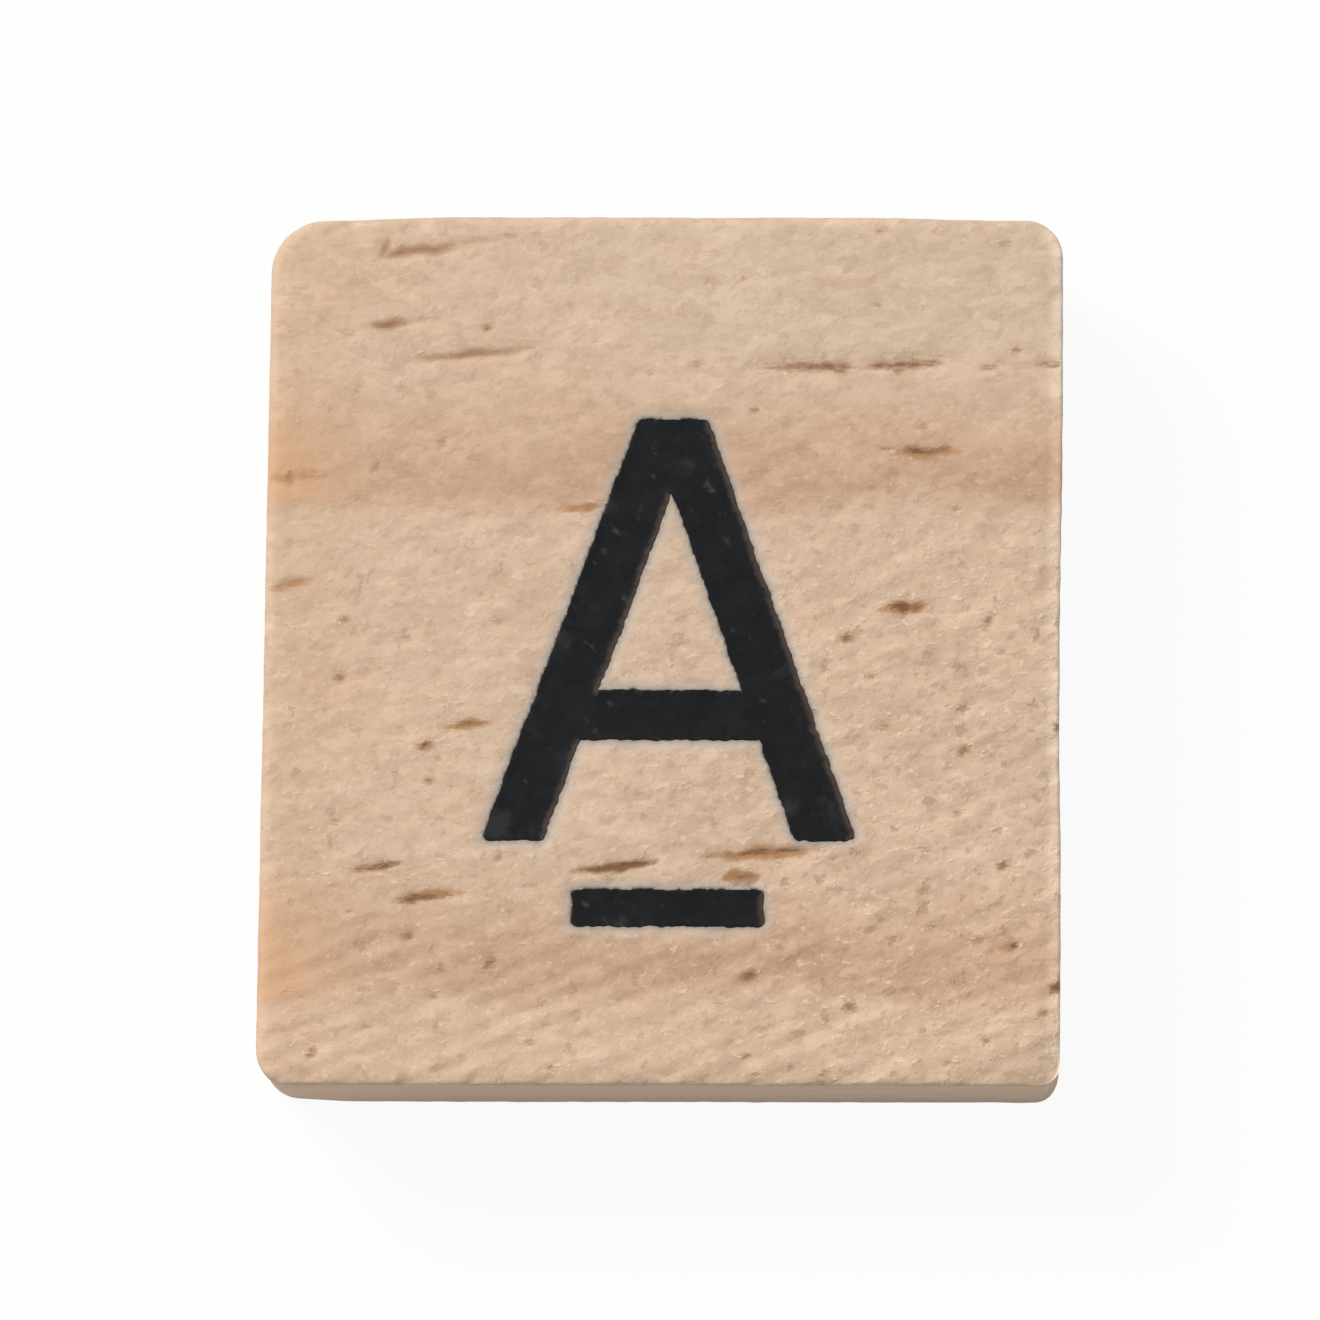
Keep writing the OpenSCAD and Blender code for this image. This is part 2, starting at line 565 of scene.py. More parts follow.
STREAKS = (
    ResinStreak(-5.4, 9.24, 2.3, 7.5, 0.24, 0.62, 0.3, ResinTint.WARM, 0.35),
    ResinStreak(-6.33, 9.3, 0.55, 78.0, 0.21, 0.55, 0.0, ResinTint.WARM, 0.35),
    ResinStreak(-5.2, 9.3, 2.6, 7.5, 0.28, 0.9, 0.2, ResinTint.FAINT, 0.35),
    ResinStreak(-4.2, 9.45, 1.6, 8.0, 0.18, 0.34, 0.2, ResinTint.WARM, 0.35),
    ResinStreak(-3.48, 9.57, 0.5, -8.0, 0.16, 0.42, 0.0, ResinTint.WARM, 0.35),
    ResinStreak(-6.18, 7.51, 1.0, 10.0, 0.21, 0.74, 0.1, ResinTint.WARM, 0.35),
    ResinStreak(-5.5, 7.6, 1.7, 5.0, 0.19, 0.8, 0.3, ResinTint.FAINT, 0.35),
    ResinStreak(-4.3, 6.84, 3.3, 6.0, 0.19, 0.62, 0.0, ResinTint.WARM, 0.35),
    ResinStreak(-4.4, 6.83, 3.5, 6.0, 0.3, 1.0, 0.0, ResinTint.FAINT, 0.35),
    ResinStreak(3.36, 6.56, 2.4, 1.0, 0.16, 0.8, -0.1),
    ResinStreak(3.3, 6.6, 2.9, 1.0, 0.33, 1.05, 0.0, ResinTint.FAINT),
    ResinStreak(3.9, 6.48, 0.7, -16.0, 0.13, 0.6),
    ResinStreak(5.5, 6.6, 2.1, 3.0, 0.14, 0.83, 0.15),
    ResinStreak(5.6, 6.66, 2.7, 3.0, 0.3, 1.0, 0.0, ResinTint.FAINT),
    ResinStreak(5.35, 6.45, 0.3, 0.0, 0.18, 0.6),
    ResinStreak(7.43, 6.57, 0.6, 0.0, 0.14, 0.58),
    ResinStreak(8.75, 6.63, 0.75, -4.0, 0.18, 0.58),
    ResinStreak(5.05, 4.68, 0.5, -4.0, 0.09, 0.65),
    ResinStreak(6.0, 4.6, 1.8, 0.0, 0.24, 0.8, 0.1, ResinTint.AMBER),
    ResinStreak(6.0, 4.63, 1.2, 1.0, 0.13, 0.9, 0.2),
    ResinStreak(-1.75, 3.3, 1.4, 4.0, 0.15, 0.75, 0.0, ResinTint.AMBER),
    ResinStreak(-8.5, 1.5, 1.4, 11.0, 0.23, 0.54, -0.1, ResinTint.AMBER),
    ResinStreak(-8.4, 1.5, 2.6, 8.0, 0.5, 0.22, 0.0, ResinTint.AMBER),
    ResinStreak(-8.35, 4.0, 1.9, 3.0, 0.27, 0.55, 0.2, ResinTint.AMBER),
    ResinStreak(5.5, 1.02, 1.3, 3.0, 0.24, 0.85, 0.0, ResinTint.AMBER),
    ResinStreak(5.5, 1.03, 0.9, 2.0, 0.17, 1.0),
    ResinStreak(5.55, 1.3, 0.22, 80.0, 0.12, 0.5),
    ResinStreak(-4.45, -1.72, 1.3, 5.0, 0.2, 0.78, 0.0, ResinTint.AMBER),
    ResinStreak(-4.4, -1.7, 0.9, 5.0, 0.14, 0.66),
    ResinStreak(-6.3, -5.3, 5.4, 8.0, 0.9, 0.21, 0.0, ResinTint.AMBER),
    ResinStreak(-6.6, -5.0, 1.5, 11.0, 0.17, 0.82, -0.3, ResinTint.WARM),
    ResinStreak(-8.0, -5.25, 1.9, 6.0, 0.18, 0.45, 0.0, ResinTint.FAINT),
    ResinStreak(-5.45, -5.72, 1.5, 8.0, 0.17, 0.9, 0.1, ResinTint.WARM),
    ResinStreak(-5.1, -5.65, 1.6, 6.0, 0.2, 0.75, 0.0, ResinTint.AMBER),
    ResinStreak(-1.1, -5.0, 2.2, 7.0, 0.17, 1.15, -0.2),
    ResinStreak(2.35, -4.63, 3.1, 4.5, 0.11, 0.85, 0.0, ResinTint.WARM),
    ResinStreak(2.35, -4.66, 3.2, 4.5, 0.23, 0.85, 0.0, ResinTint.AMBER),
    ResinStreak(1.8, -5.25, 0.95, 4.0, 0.27, 1.3, 0.0, ResinTint.AMBER),
    ResinStreak(1.85, -5.22, 0.5, 8.0, 0.18, 0.75, 0.0, ResinTint.WARM),
    ResinStreak(2.0, -4.95, 4.6, 4.0, 0.7, 0.22, 0.0, ResinTint.AMBER),
    ResinStreak(7.8, -6.85, 0.8, 22.0, 0.22, 0.6, -0.4, ResinTint.AMBER),
    ResinStreak(8.0, -6.8, 0.26, 60.0, 0.2, 0.85),
)

PITS = (
    Pit(-3.98, 7.44, 0.11, 0.7), Pit(-5.0, 4.8, 0.13, 0.5, 75.0), Pit(-6.5, 4.2, 0.15, 0.45, 70.0),
    Pit(1.05, 8.55, 0.1), Pit(1.8, 8.57, 0.09), Pit(4.87, 8.0, 0.1), Pit(0.8, 6.6, 0.12),
    Pit(2.1, 5.55, 0.1, 0.65), Pit(5.95, 5.2, 0.12), Pit(8.02, 6.94, 0.13, 0.55, 0.0),
    Pit(4.75, 3.75, 0.09), Pit(6.7, 3.3, 0.1), Pit(-4.1, 1.3, 0.1), Pit(-7.2, 0.7, 0.1, 0.6),
    Pit(-3.7, 0.65, 0.09), Pit(4.2, 0.3, 0.15, 0.75), Pit(7.4, 0.7, 0.13, 0.6, 60.0),
    Pit(-7.33, -0.62, 0.15, 0.6, 20.0), Pit(-2.65, -1.3, 0.1), Pit(-5.4, -2.2, 0.15, 0.85),
    Pit(-5.3, -3.0, 0.12, 0.6), Pit(-2.2, -3.05, 0.09), Pit(-7.4, -3.95, 0.13),
    Pit(3.4, -1.5, 0.13, 0.65), Pit(6.85, -2.3, 0.14, 0.7, 30.0), Pit(2.9, -3.5, 0.1),
    Pit(6.05, -0.05, 0.11), Pit(6.7, -3.75, 0.12), Pit(7.75, -4.95, 0.14, 0.7),
    Pit(-3.7, -4.75, 0.12, 0.6, 80.0), Pit(-5.75, -6.6, 0.15, 0.75, 5.0),
    Pit(-3.9, -7.2, 0.18, 0.7, 60.0), Pit(-5.0, -7.3, 0.11, 0.5, 80.0),
    Pit(-0.6, -7.6, 0.13, 0.5, 80.0), Pit(1.95, -7.5, 0.18, 0.75, 20.0),
    Pit(4.25, -8.2, 0.15, 0.65, -35.0), Pit(8.65, -8.35, 0.12, 0.6), Pit(-7.95, -9.3, 0.15, 0.6, 50.0),
    Pit(-2.5, -9.6, 0.13), Pit(1.95, -9.35, 0.11), Pit(5.9, -5.55, 0.13), Pit(-7.1, -6.05, 0.1),
    Pit(7.8, 9.4, 0.12), Pit(4.95, 9.7, 0.12), Pit(9.0, -7.75, 0.17, 0.9), Pit(9.05, -1.75, 0.14, 0.8),
    Pit(-8.18, 1.6, 0.1, 0.4, 20.0), Pit(-8.7, 1.42, 0.09, 0.45), Pit(-5.78, 0.31, 0.09, 0.55, 0.0),
    Pit(7.72, 0.0, 0.11, 0.5), Pit(4.74, -0.6, 0.14, 0.42), Pit(6.8, -1.36, 0.11, 0.45),
    Pit(5.05, -1.75, 0.14, 0.5), Pit(4.78, -6.45, 0.13, 0.5), Pit(7.2, -6.65, 0.17, 0.4),
    Pit(4.17, -6.9, 0.11, 0.55), Pit(6.1, -6.35, 0.13, 0.45), Pit(6.2, -8.15, 0.11, 0.45),
    Pit(7.4, -9.0, 0.1, 0.55), Pit(6.5, -9.5, 0.11, 0.5), Pit(3.66, -9.75, 0.15, 0.42),
    Pit(-5.2, -8.0, 0.11, 0.45), Pit(-6.75, -8.7, 0.11, 0.45), Pit(-3.0, -9.05, 0.12, 0.5),
    Pit(-5.74, -4.9, 0.09, 0.45), Pit(2.67, -6.85, 0.13, 0.5, -20.0), Pit(-3.43, -6.0, 0.11, 0.4),
    Pit(-6.95, 5.95, 0.13, 0.32, 80.0), Pit(-7.1, 7.3, 0.17, 0.28), Pit(-1.55, 7.15, 0.13, 0.32, 75.0),
    Pit(-0.3, 6.4, 0.09, 0.42),
)


class Marks:
    """The streaks and pits at each vertex: brown and amber resin, a groove, and how ragged it is."""

    def __init__(self, read: np.ndarray) -> None:
        """Lays every streak and then every pit over some places.

        Args:
            read: rows of x and y, as they are read off the photograph.
        """
        self.brown, self.amber, self.groove = (np.zeros(len(read)) for _ in range(3))
        self.ragged = np.ones(len(read))
        for streak in STREAKS:
            shows = streak.show(read)
            brown, amber = streak.tint.value
            self.ragged = np.where(shows > self.groove, streak.ragged, self.ragged)
            self.brown = np.maximum(self.brown, shows * brown)
            self.amber = np.maximum(self.amber, shows * amber)
            self.groove = np.maximum(self.groove, shows)
        for pit in PITS:
            shows = pit.show(read)
            self.brown = np.maximum(self.brown, shows)
            self.groove = np.maximum(self.groove, PIT_DEPTH * shows)


@dataclass(frozen=True)
class RoundedPlan:
    """The block seen from above: a rectangle whose four corners have radii of their own.

    Points are rows of x and y from its middle, with anything after them left unread.
    """

    half_w: float = BLOCK_HIGH.x
    half_l: float = BLOCK_HIGH.y
    head_right: float = 0.9 * MM
    head_left: float = 1.25 * MM
    foot_left: float = 0.8 * MM
    foot_right: float = 0.5 * MM
    settle: int = 9

    def _radius(self, points: np.ndarray) -> np.ndarray:
        """Finds the radius of the corner in whose quarter each point lies.

        Args:
            points: rows of x and y.

        Returns:
            One radius for each row.
        """
        right, ahead = points[:, 0] >= 0, points[:, 1] >= 0
        head = np.where(right, self.head_right, self.head_left)
        foot = np.where(right, self.foot_right, self.foot_left)
        return np.where(ahead, head, foot)

    def _halves(self, inset: float) -> np.ndarray:
        """Half the width and half the length of an outline that lies inside the edge."""
        return np.array((self.half_w, self.half_l)) - inset

    def _rim(self, square: np.ndarray, inset: float) -> np.ndarray:
        """Bends the rim of a square onto the outline, each side's end onto half a corner.

        Args:
            square: rows of x and y on the rim, from -1 to 1.
            inset: how far inside the edge the outline lies.

        Returns:
            Rows of x and y on the outline.
        """
        halves = self._halves(inset)
        r = self._radius(square) - inset
        spots = np.abs(square) * halves
        upright = np.abs(square[:, 0]) >= np.abs(square[:, 1])
        over = (np.where(upright, spots[:, 1] - halves[1], spots[:, 0] - halves[0]) + r) / r
        turn = np.clip(over, 0.0, 1.0) * math.pi / 4
        near, far = r * np.cos(turn), r * np.sin(turn)
        arc = np.column_stack((np.where(upright, near, far), np.where(upright, far, near)))
        spots = np.where(over[:, None] > 0, halves - r[:, None] + arc, spots)
        return np.sign(square) * spots

    def fill(self, square: np.ndarray, inset: float) -> np.ndarray:
        """Bends a whole square onto the plan, keeping its middle square.

        Args:
            square: rows of x and y in the square, from -1 to 1.
            inset: how far inside the edge the rim lies.

        Returns:
            Rows of x and y on the block.
        """
        halves = self._halves(inset)
        reach = np.maximum(np.abs(square).max(axis=1), TINY)[:, None]
        rim = square / reach
        return square * halves + reach**self.settle * (self._rim(rim, inset) - rim * halves)

    def _from_corner(self, points: np.ndarray, inset: float) -> tuple[np.ndarray, np.ndarray]:
        """The radius of each point's corner, and how far past its centre the point lies."""
        r = self._radius(points) - inset
        return r, np.abs(points[:, :2]) - (self._halves(inset) - r[:, None])

    def outward(self, points: np.ndarray, inset: float = 0.0) -> np.ndarray:
        """Finds the way out of the block, square to an outline that lies inside its edge.

        Args:
            points: rows of x and y.
            inset: how far inside the edge the outline lies.

        Returns:
            Rows of how far the way out goes along X and Y, for a step of 1.
        """
        _, past = self._from_corner(points, inset)
        span = np.maximum(np.hypot(*past.T), TINY)
        across = past[:, 0] > past[:, 1]
        straight = np.column_stack((across, ~across)).astype(float)
        in_corner = (past > 0).all(axis=1)
        return np.sign(points[:, :2]) * np.where(in_corner[:, None], past / span[:, None], straight)

    def depth(self, points: np.ndarray) -> np.ndarray:
        """Measures how far inside the edge some points lie.

        Args:
            points: rows of x and y.

        Returns:
            One depth for each row.
        """
        r, past = self._from_corner(points, 0.0)
        outside = np.hypot(*np.maximum(past, 0.0).T)
        return r - outside - np.minimum(past.max(axis=1), 0.0)


@dataclass
class Stamp:
    """One shape of the stamping die, with the ragged edge that it leaves in soft wood."""

    node: str
    longest_edge: float = 0.05 * MM
    over: float = 0.4 * MM
    rim_steps: int = 4
    edge_waves: tuple[Ripple, ...] = (
        Ripple(0.035 * MM, (0.4 * MM, 0.4 * MM), 1.3),
        Ripple(0.028 * MM, (0.13 * MM, 0.13 * MM), 7.9),
    )
    lengthwise_seed: float = 20.0
    low: Vector = field(init=False)
    high: Vector = field(init=False)
    sheet: bpy.types.Object = field(init=False)
    rim: kdtree.KDTree = field(init=False)
    rightward: list[float] = field(init=False, default_factory=list)

    def __post_init__(self) -> None:
        """Reads the stamp's box from its solid, and makes the flat shape."""
        self.low, self.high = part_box(self.node)
        self.sheet = self._flat_shape()
        self.rim = self._rim_points()

    def _flat_shape(self) -> bpy.types.Object:
        """Takes the solid's upper face, divides it finely along its edge and makes the edge ragged.

        Returns:
            The face as an object of its own, on the floor of the stamp.
        """
        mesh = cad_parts[self.node].data.copy()
        mesh.materials.clear()
        shape = link(f"{self.node}_shape", mesh)
        with editing(shape, Part.VERT):
            bpy.ops.mesh.select_all(action="SELECT")
            bpy.ops.mesh.remove_doubles(threshold=MERGE_WITHIN)
        pick(mesh, Part.FACE, rows(mesh.polygons, "normal")[:, 2] < STEEP)
        with editing(shape, Part.FACE):
            bpy.ops.mesh.delete(type="FACE")
        while (long_edges := self._open_edges(mesh, self.longest_edge)).any():
            pick(mesh, Part.EDGE, long_edges)
            with editing(shape, Part.EDGE):
                bpy.ops.mesh.subdivide(number_cuts=1)
        points = places(mesh)
        for wave in self.edge_waves:
            points[:, 0] += wave.at(points)
            points[:, 1] += wave.at(points, self.lengthwise_seed)
        points[:, 2] = self.low.z
        move_to(mesh, points)
        return shape

    @staticmethod
    def _open_edges(mesh: bpy.types.Mesh, longer_than: float) -> np.ndarray:
        """Flags the longer edges along the rim of a flat mesh.

        Args:
            mesh: the flat mesh.
            longer_than: the length past which an edge is flagged.

        Returns:
            One true or false for each edge.
        """
        uses = np.zeros(len(mesh.edges), int)
        for loop in mesh.loops:
            uses[loop.edge_index] += 1
        ends = np.array([edge.vertices[:] for edge in mesh.edges])
        points = places(mesh)
        lengths = np.linalg.norm(points[ends[:, 0]] - points[ends[:, 1]], axis=1)
        return (uses == 1) & (lengths > longer_than)

    def _rim_points(self) -> kdtree.KDTree:
        """Notes points close together along the rim, and how far right the way out is at each.

        Returns:
            The points, ready to be searched.
        """
        mesh = self.sheet.data
        points = places(mesh)
        open_edges = np.flatnonzero(self._open_edges(mesh, 0.0))
        rim_keys = {mesh.edges[int(index)].key for index in open_edges}
        spots = []
        for face in mesh.polygons:
            corners = list(face.vertices)
            for key, start, end in zip(face.edge_keys, corners, corners[1:] + corners[:1]):
                if key in rim_keys:
                    run = points[end] - points[start]
                    spots += [points[start] + run * step / self.rim_steps for step in range(self.rim_steps)]
                    self.rightward += [run[1] / np.linalg.norm(run)] * self.rim_steps
        tree = kdtree.KDTree(len(spots))
        for index, spot in enumerate(spots):
            tree.insert((spot[0], spot[1], 0.0), index)
        tree.balance()
        return tree

    def to_rim(self, points: np.ndarray) -> tuple[np.ndarray, np.ndarray]:
        """Looks from some places to the nearest point of the rim.

        Args:
            points: rows of x and y, with anything after them left unread.

        Returns:
            How far off the rim is, and how far to the right the way out of the stamp is there.
        """
        found = [self.rim.find((x, y, 0.0)) for x, y in points[:, :2]]
        off = np.array([distance for _, _, distance in found])
        return off, np.array(self.rightward)[[index for _, index, _ in found]]

    def die(self) -> bpy.types.Object:
        """Draws the flat shape up from the floor of the stamp to past the face.

        Returns:
            The die, a closed solid.
        """
        die = link(f"{self.node}_die", self.sheet.data.copy())
        rise = BLOCK_HIGH.z - self.low.z + self.over
        with editing(die, Part.FACE):
            bpy.ops.mesh.select_all(action="SELECT")
            bpy.ops.mesh.extrude_region_move(TRANSFORM_OT_translate={"value": (0.0, 0.0, rise)})
            bpy.ops.mesh.select_all(action="SELECT")
            bpy.ops.mesh.normals_make_consistent(inside=False)
        return die

    def clear_away(self) -> None:
        """Removes the flat shape once nothing needs it."""
        bpy.data.objects.remove(self.sheet)


class Sheet:
    """A node tree being drawn up: adds nodes, sets their values and joins their sockets."""

    def __init__(self, tree: bpy.types.NodeTree) -> None:
        """Starts on an empty tree, in place of what Blender put there."""
        self.tree = tree
        self.tree.nodes.clear()

    def feed(self, socket: Socket, value: Value) -> None:
        """Joins a socket to another, or sets its own value.

        Args:
            socket: the input.
            value: an output to join it to, or what to set it to.
        """
        if isinstance(value, Socket):
            self.tree.links.new(value, socket)
        else:
            socket.default_value = value

    def node(self, kind: str, inputs: dict | None = None, **settings: object) -> bpy.types.Node:
        """Adds one node.

        Args:
            kind: the node's type.
            inputs: input names or places, with a value or a socket for each.
            settings: the node's own properties.

        Returns:
            The new node.
        """
        made = self.tree.nodes.new(kind)
        for name, value in settings.items():
            setattr(made, name, value)
        for key, value in (inputs or {}).items():
            self.feed(made.inputs[key], value)
        return made

    def math(self, operation: str, *values: Value, clamp: bool = False) -> Socket:
        """One step of arithmetic on values or sockets."""
        inputs = dict(enumerate(values))
        return self.node("ShaderNodeMath", inputs, operation=operation, use_clamp=clamp).outputs[0]

    def times(self, first: Value, second: Value) -> Socket:
        """The product of two values."""
        return self.math("MULTIPLY", first, second)

    def add_to(self, total: Value, value: Value, weight: Value) -> Socket:
        """A total with a value added to it by a weight."""
        return self.math("MULTIPLY_ADD", value, weight, total)

    def about_nought(self, value: Value) -> Socket:
        """A noise value that swings about nought in place of a half."""
        return self.math("SUBTRACT", value, MIDDLE)

    def scaled(self, vector: Value, scale: Triple) -> Socket:
        """A vector times a scale for each axis."""
        return self.node("ShaderNodeVectorMath", {0: vector, 1: scale}, operation="MULTIPLY").outputs[0]

    def turned(self, vector: Value, degrees: float) -> Socket:
        """A vector turned about the Z axis."""
        inputs = {"Vector": vector, "Angle": math.radians(degrees)}
        return self.node("ShaderNodeVectorRotate", inputs, rotation_type="Z_AXIS").outputs[0]

    def attribute(self, name: str) -> Socket:
        """A number that the mesh keeps for each vertex."""
        return self.node("ShaderNodeAttribute", attribute_name=name).outputs["Fac"]

    def seen(self) -> Socket:
        """Tells rays from the camera, off gloss and through glass, which are 1, from the rest.

        Returns:
            1 or 0 for each ray.
        """
        rays = self.node("ShaderNodeLightPath").outputs
        direct = self.math("ADD", rays["Is Camera Ray"], rays["Is Glossy Ray"])
        return self.math("ADD", direct, rays["Is Transmission Ray"], clamp=True)

    def span(self, value: Value, span: Span) -> Socket:
        """Sends a value over a smooth step.

        Args:
            value: what is stepped.
            span: the step.

        Returns:
            The value that the step gives.
        """
        names = ("Value", "From Min", "From Max", "To Min", "To Max")
        inputs = dict(zip(names, (value, span.low, span.high, span.start, span.end)))
        return self.node("ShaderNodeMapRange", inputs, interpolation_type="SMOOTHSTEP").outputs[0]

    def _noise(self, vector: Value, cloud: Cloud) -> bpy.types.NodeOutputs:
        """Adds a noise pattern about a half.

        Args:
            vector: where the pattern is read.
            cloud: the pattern.

        Returns:
            The noise as one value, and as a colour.
        """
        lying = self.scaled(self.turned(vector, cloud.turn), cloud.cells)
        inputs = {"Vector": lying, "Scale": 1.0, "Detail": cloud.detail, "Roughness": cloud.roughness}
        return self.node("ShaderNodeTexNoise", inputs).outputs

    def cloud(self, vector: Value, cloud: Cloud) -> Socket:
        """A noise pattern about a half."""
        return self._noise(vector, cloud)[0]

    def stirred(self, vector: Value, cloud: Cloud, reach: float) -> Socket:
        """Places pushed about by noise, which makes the edges of a pattern uneven."""
        inputs = {0: self._noise(vector, cloud)["Color"], 1: (reach, reach, reach), 2: vector}
        return self.node("ShaderNodeVectorMath", inputs, operation="MULTIPLY_ADD").outputs[0]

    def cells(self, vector: Value, scale: float, **settings: object) -> tuple[Socket, bpy.types.NodeOutputs]:
        """Cells over a surface: how far off each one's middle is, and three numbers of its own."""
        made = self.node("ShaderNodeTexVoronoi", {"Vector": vector, "Scale": scale}, **settings).outputs
        return made["Distance"], self.node("ShaderNodeSeparateColor", {0: made["Color"]}).outputs

    def blend(self, factor: Value, first: Value, second: Value, mix: Mix = Mix.COVER) -> Socket:
        """Mixes two colours, given as sockets or as red, green and blue.

        Args:
            factor: how much of the second colour.
            first: the colour underneath.
            second: the colour on top.
            mix: how it goes over the first.

        Returns:
            The mixed colour.
        """
        made = self.node("ShaderNodeMix", {0: factor}, data_type="RGBA", blend_type=mix.value)
        for place, colour in zip(MIX_COLOURS, (first, second)):
            self.feed(made.inputs[place], (*colour, 1.0) if isinstance(colour, tuple) else colour)
        return made.outputs[MIX_RESULT]


class Group(Sheet):
    """A shader node group being drawn up, with what it is given and what it puts out."""

    def __init__(self, name: str, inputs: dict[str, str], outputs: tuple[str, ...]) -> None:
        """Opens the group.

        Args:
            name: the group's name.
            inputs: each input's name, with its socket type.
            outputs: the names of the outputs, all of them numbers.
        """
        super().__init__(bpy.data.node_groups.new(name, "ShaderNodeTree"))
        for label, kind in inputs.items():
            self.tree.interface.new_socket(label, in_out="INPUT", socket_type=kind)
        for label in outputs:
            self.tree.interface.new_socket(label, in_out="OUTPUT", socket_type="NodeSocketFloat")
        self.given = self.node("NodeGroupInput").outputs
        self.put = self.node("NodeGroupOutput").inputs


@dataclass(frozen=True)
class LongGrain:
    """Fibres that run along X, as a shared group: broad ones, fine ones and a height for both."""

    broad: Cloud = Cloud((0.3, 1.6, 1.6), 3.0, 0.55)
    fine: Cloud = Cloud((1.6, 7.0, 7.0), 3.0, 0.6)
    broad_height: float = 0.3
    fine_height: float = 0.7

    def draw(self) -> bpy.types.NodeTree:
        """Draws up the group.

        Returns:
            The group's tree.
        """
        group = Group("Long Grain", {"Vector": "NodeSocketVector"}, ("Broad", "Fine", "Height"))
        broad, fine = (group.cloud(group.given["Vector"], cloud) for cloud in (self.broad, self.fine))
        height = group.add_to(group.times(fine, self.fine_height), broad, self.broad_height)
        for name, value in (("Broad", broad), ("Fine", fine), ("Height", height)):
            group.feed(group.put[name], value)
        return group.tree


@dataclass(frozen=True)
class TornFibre:
    """Soft ragged flecks along the sanding, as a shared group: raised threads and torn-out nicks."""

    lie: float = -15.0
    stretch: Triple = (0.85, 1.2, 1.0)
    detail: float = 2.0
    roughness: float = 0.5
    pale_thread_and_glint: Span = Span(0.0, 0.13)
    nick: Span = Span(0.0, 0.14)

    def draw(self) -> bpy.types.NodeTree:
        """Draws up the group.

        Returns:
            The group's tree.
        """
        inputs = {"Vector": "NodeSocketVector", "Cells": "NodeSocketFloat", "Limit": "NodeSocketFloat"}
        group = Group("Torn Fibre", inputs, ("Thread", "Nick"))
        lying = group.scaled(group.turned(group.given["Vector"], self.lie), self.stretch)
        noise_inputs = {"Vector": lying, "Scale": group.given["Cells"]}
        noise_inputs |= {"Detail": self.detail, "Roughness": self.roughness}
        tufts = group.node("ShaderNodeTexNoise", noise_inputs).outputs[0]
        gaps = group.math("SUBTRACT", 1.0, tufts)
        for name, value, span in (("Thread", tufts, self.pale_thread_and_glint), ("Nick", gaps, self.nick)):
            past = group.math("SUBTRACT", value, group.given["Limit"])
            group.feed(group.put[name], group.span(past, span))
        return group.tree


@dataclass(frozen=True)
class FibreLayer:
    """One placing of the torn fibre: its cells to the millimetre, its limit, turn and stretch."""

    cells: float
    limit: float = 0.6
    turn: float = 0.0
    stretch: Triple = (1.0, 1.0, 1.0)


class Effects:
    """The node groups that the finishes share, each drawn up once."""

    def __init__(self) -> None:
        """Draws up every group."""
        self.long_grain = LongGrain().draw()
        self.torn_fibre = TornFibre().draw()


class Coat(Sheet):
    """A material being drawn up, with nothing in it at first but its surface shader."""

    def __init__(self, name: str) -> None:
        """Opens the material.

        Args:
            name: the material's name.
        """
        self.material = bpy.data.materials.new(name)
        self.material.use_nodes = True
        super().__init__(self.material.node_tree)
        self.shader = self.node("ShaderNodeBsdfPrincipled")
        self.output = self.node("ShaderNodeOutputMaterial", {"Surface": self.shader.outputs[0]})


@dataclass(frozen=True)
class Polish:
    """What a finish has the same all over: its specular level, and its bump's strength and distance."""

    specular: float
    strength: float
    distance: float


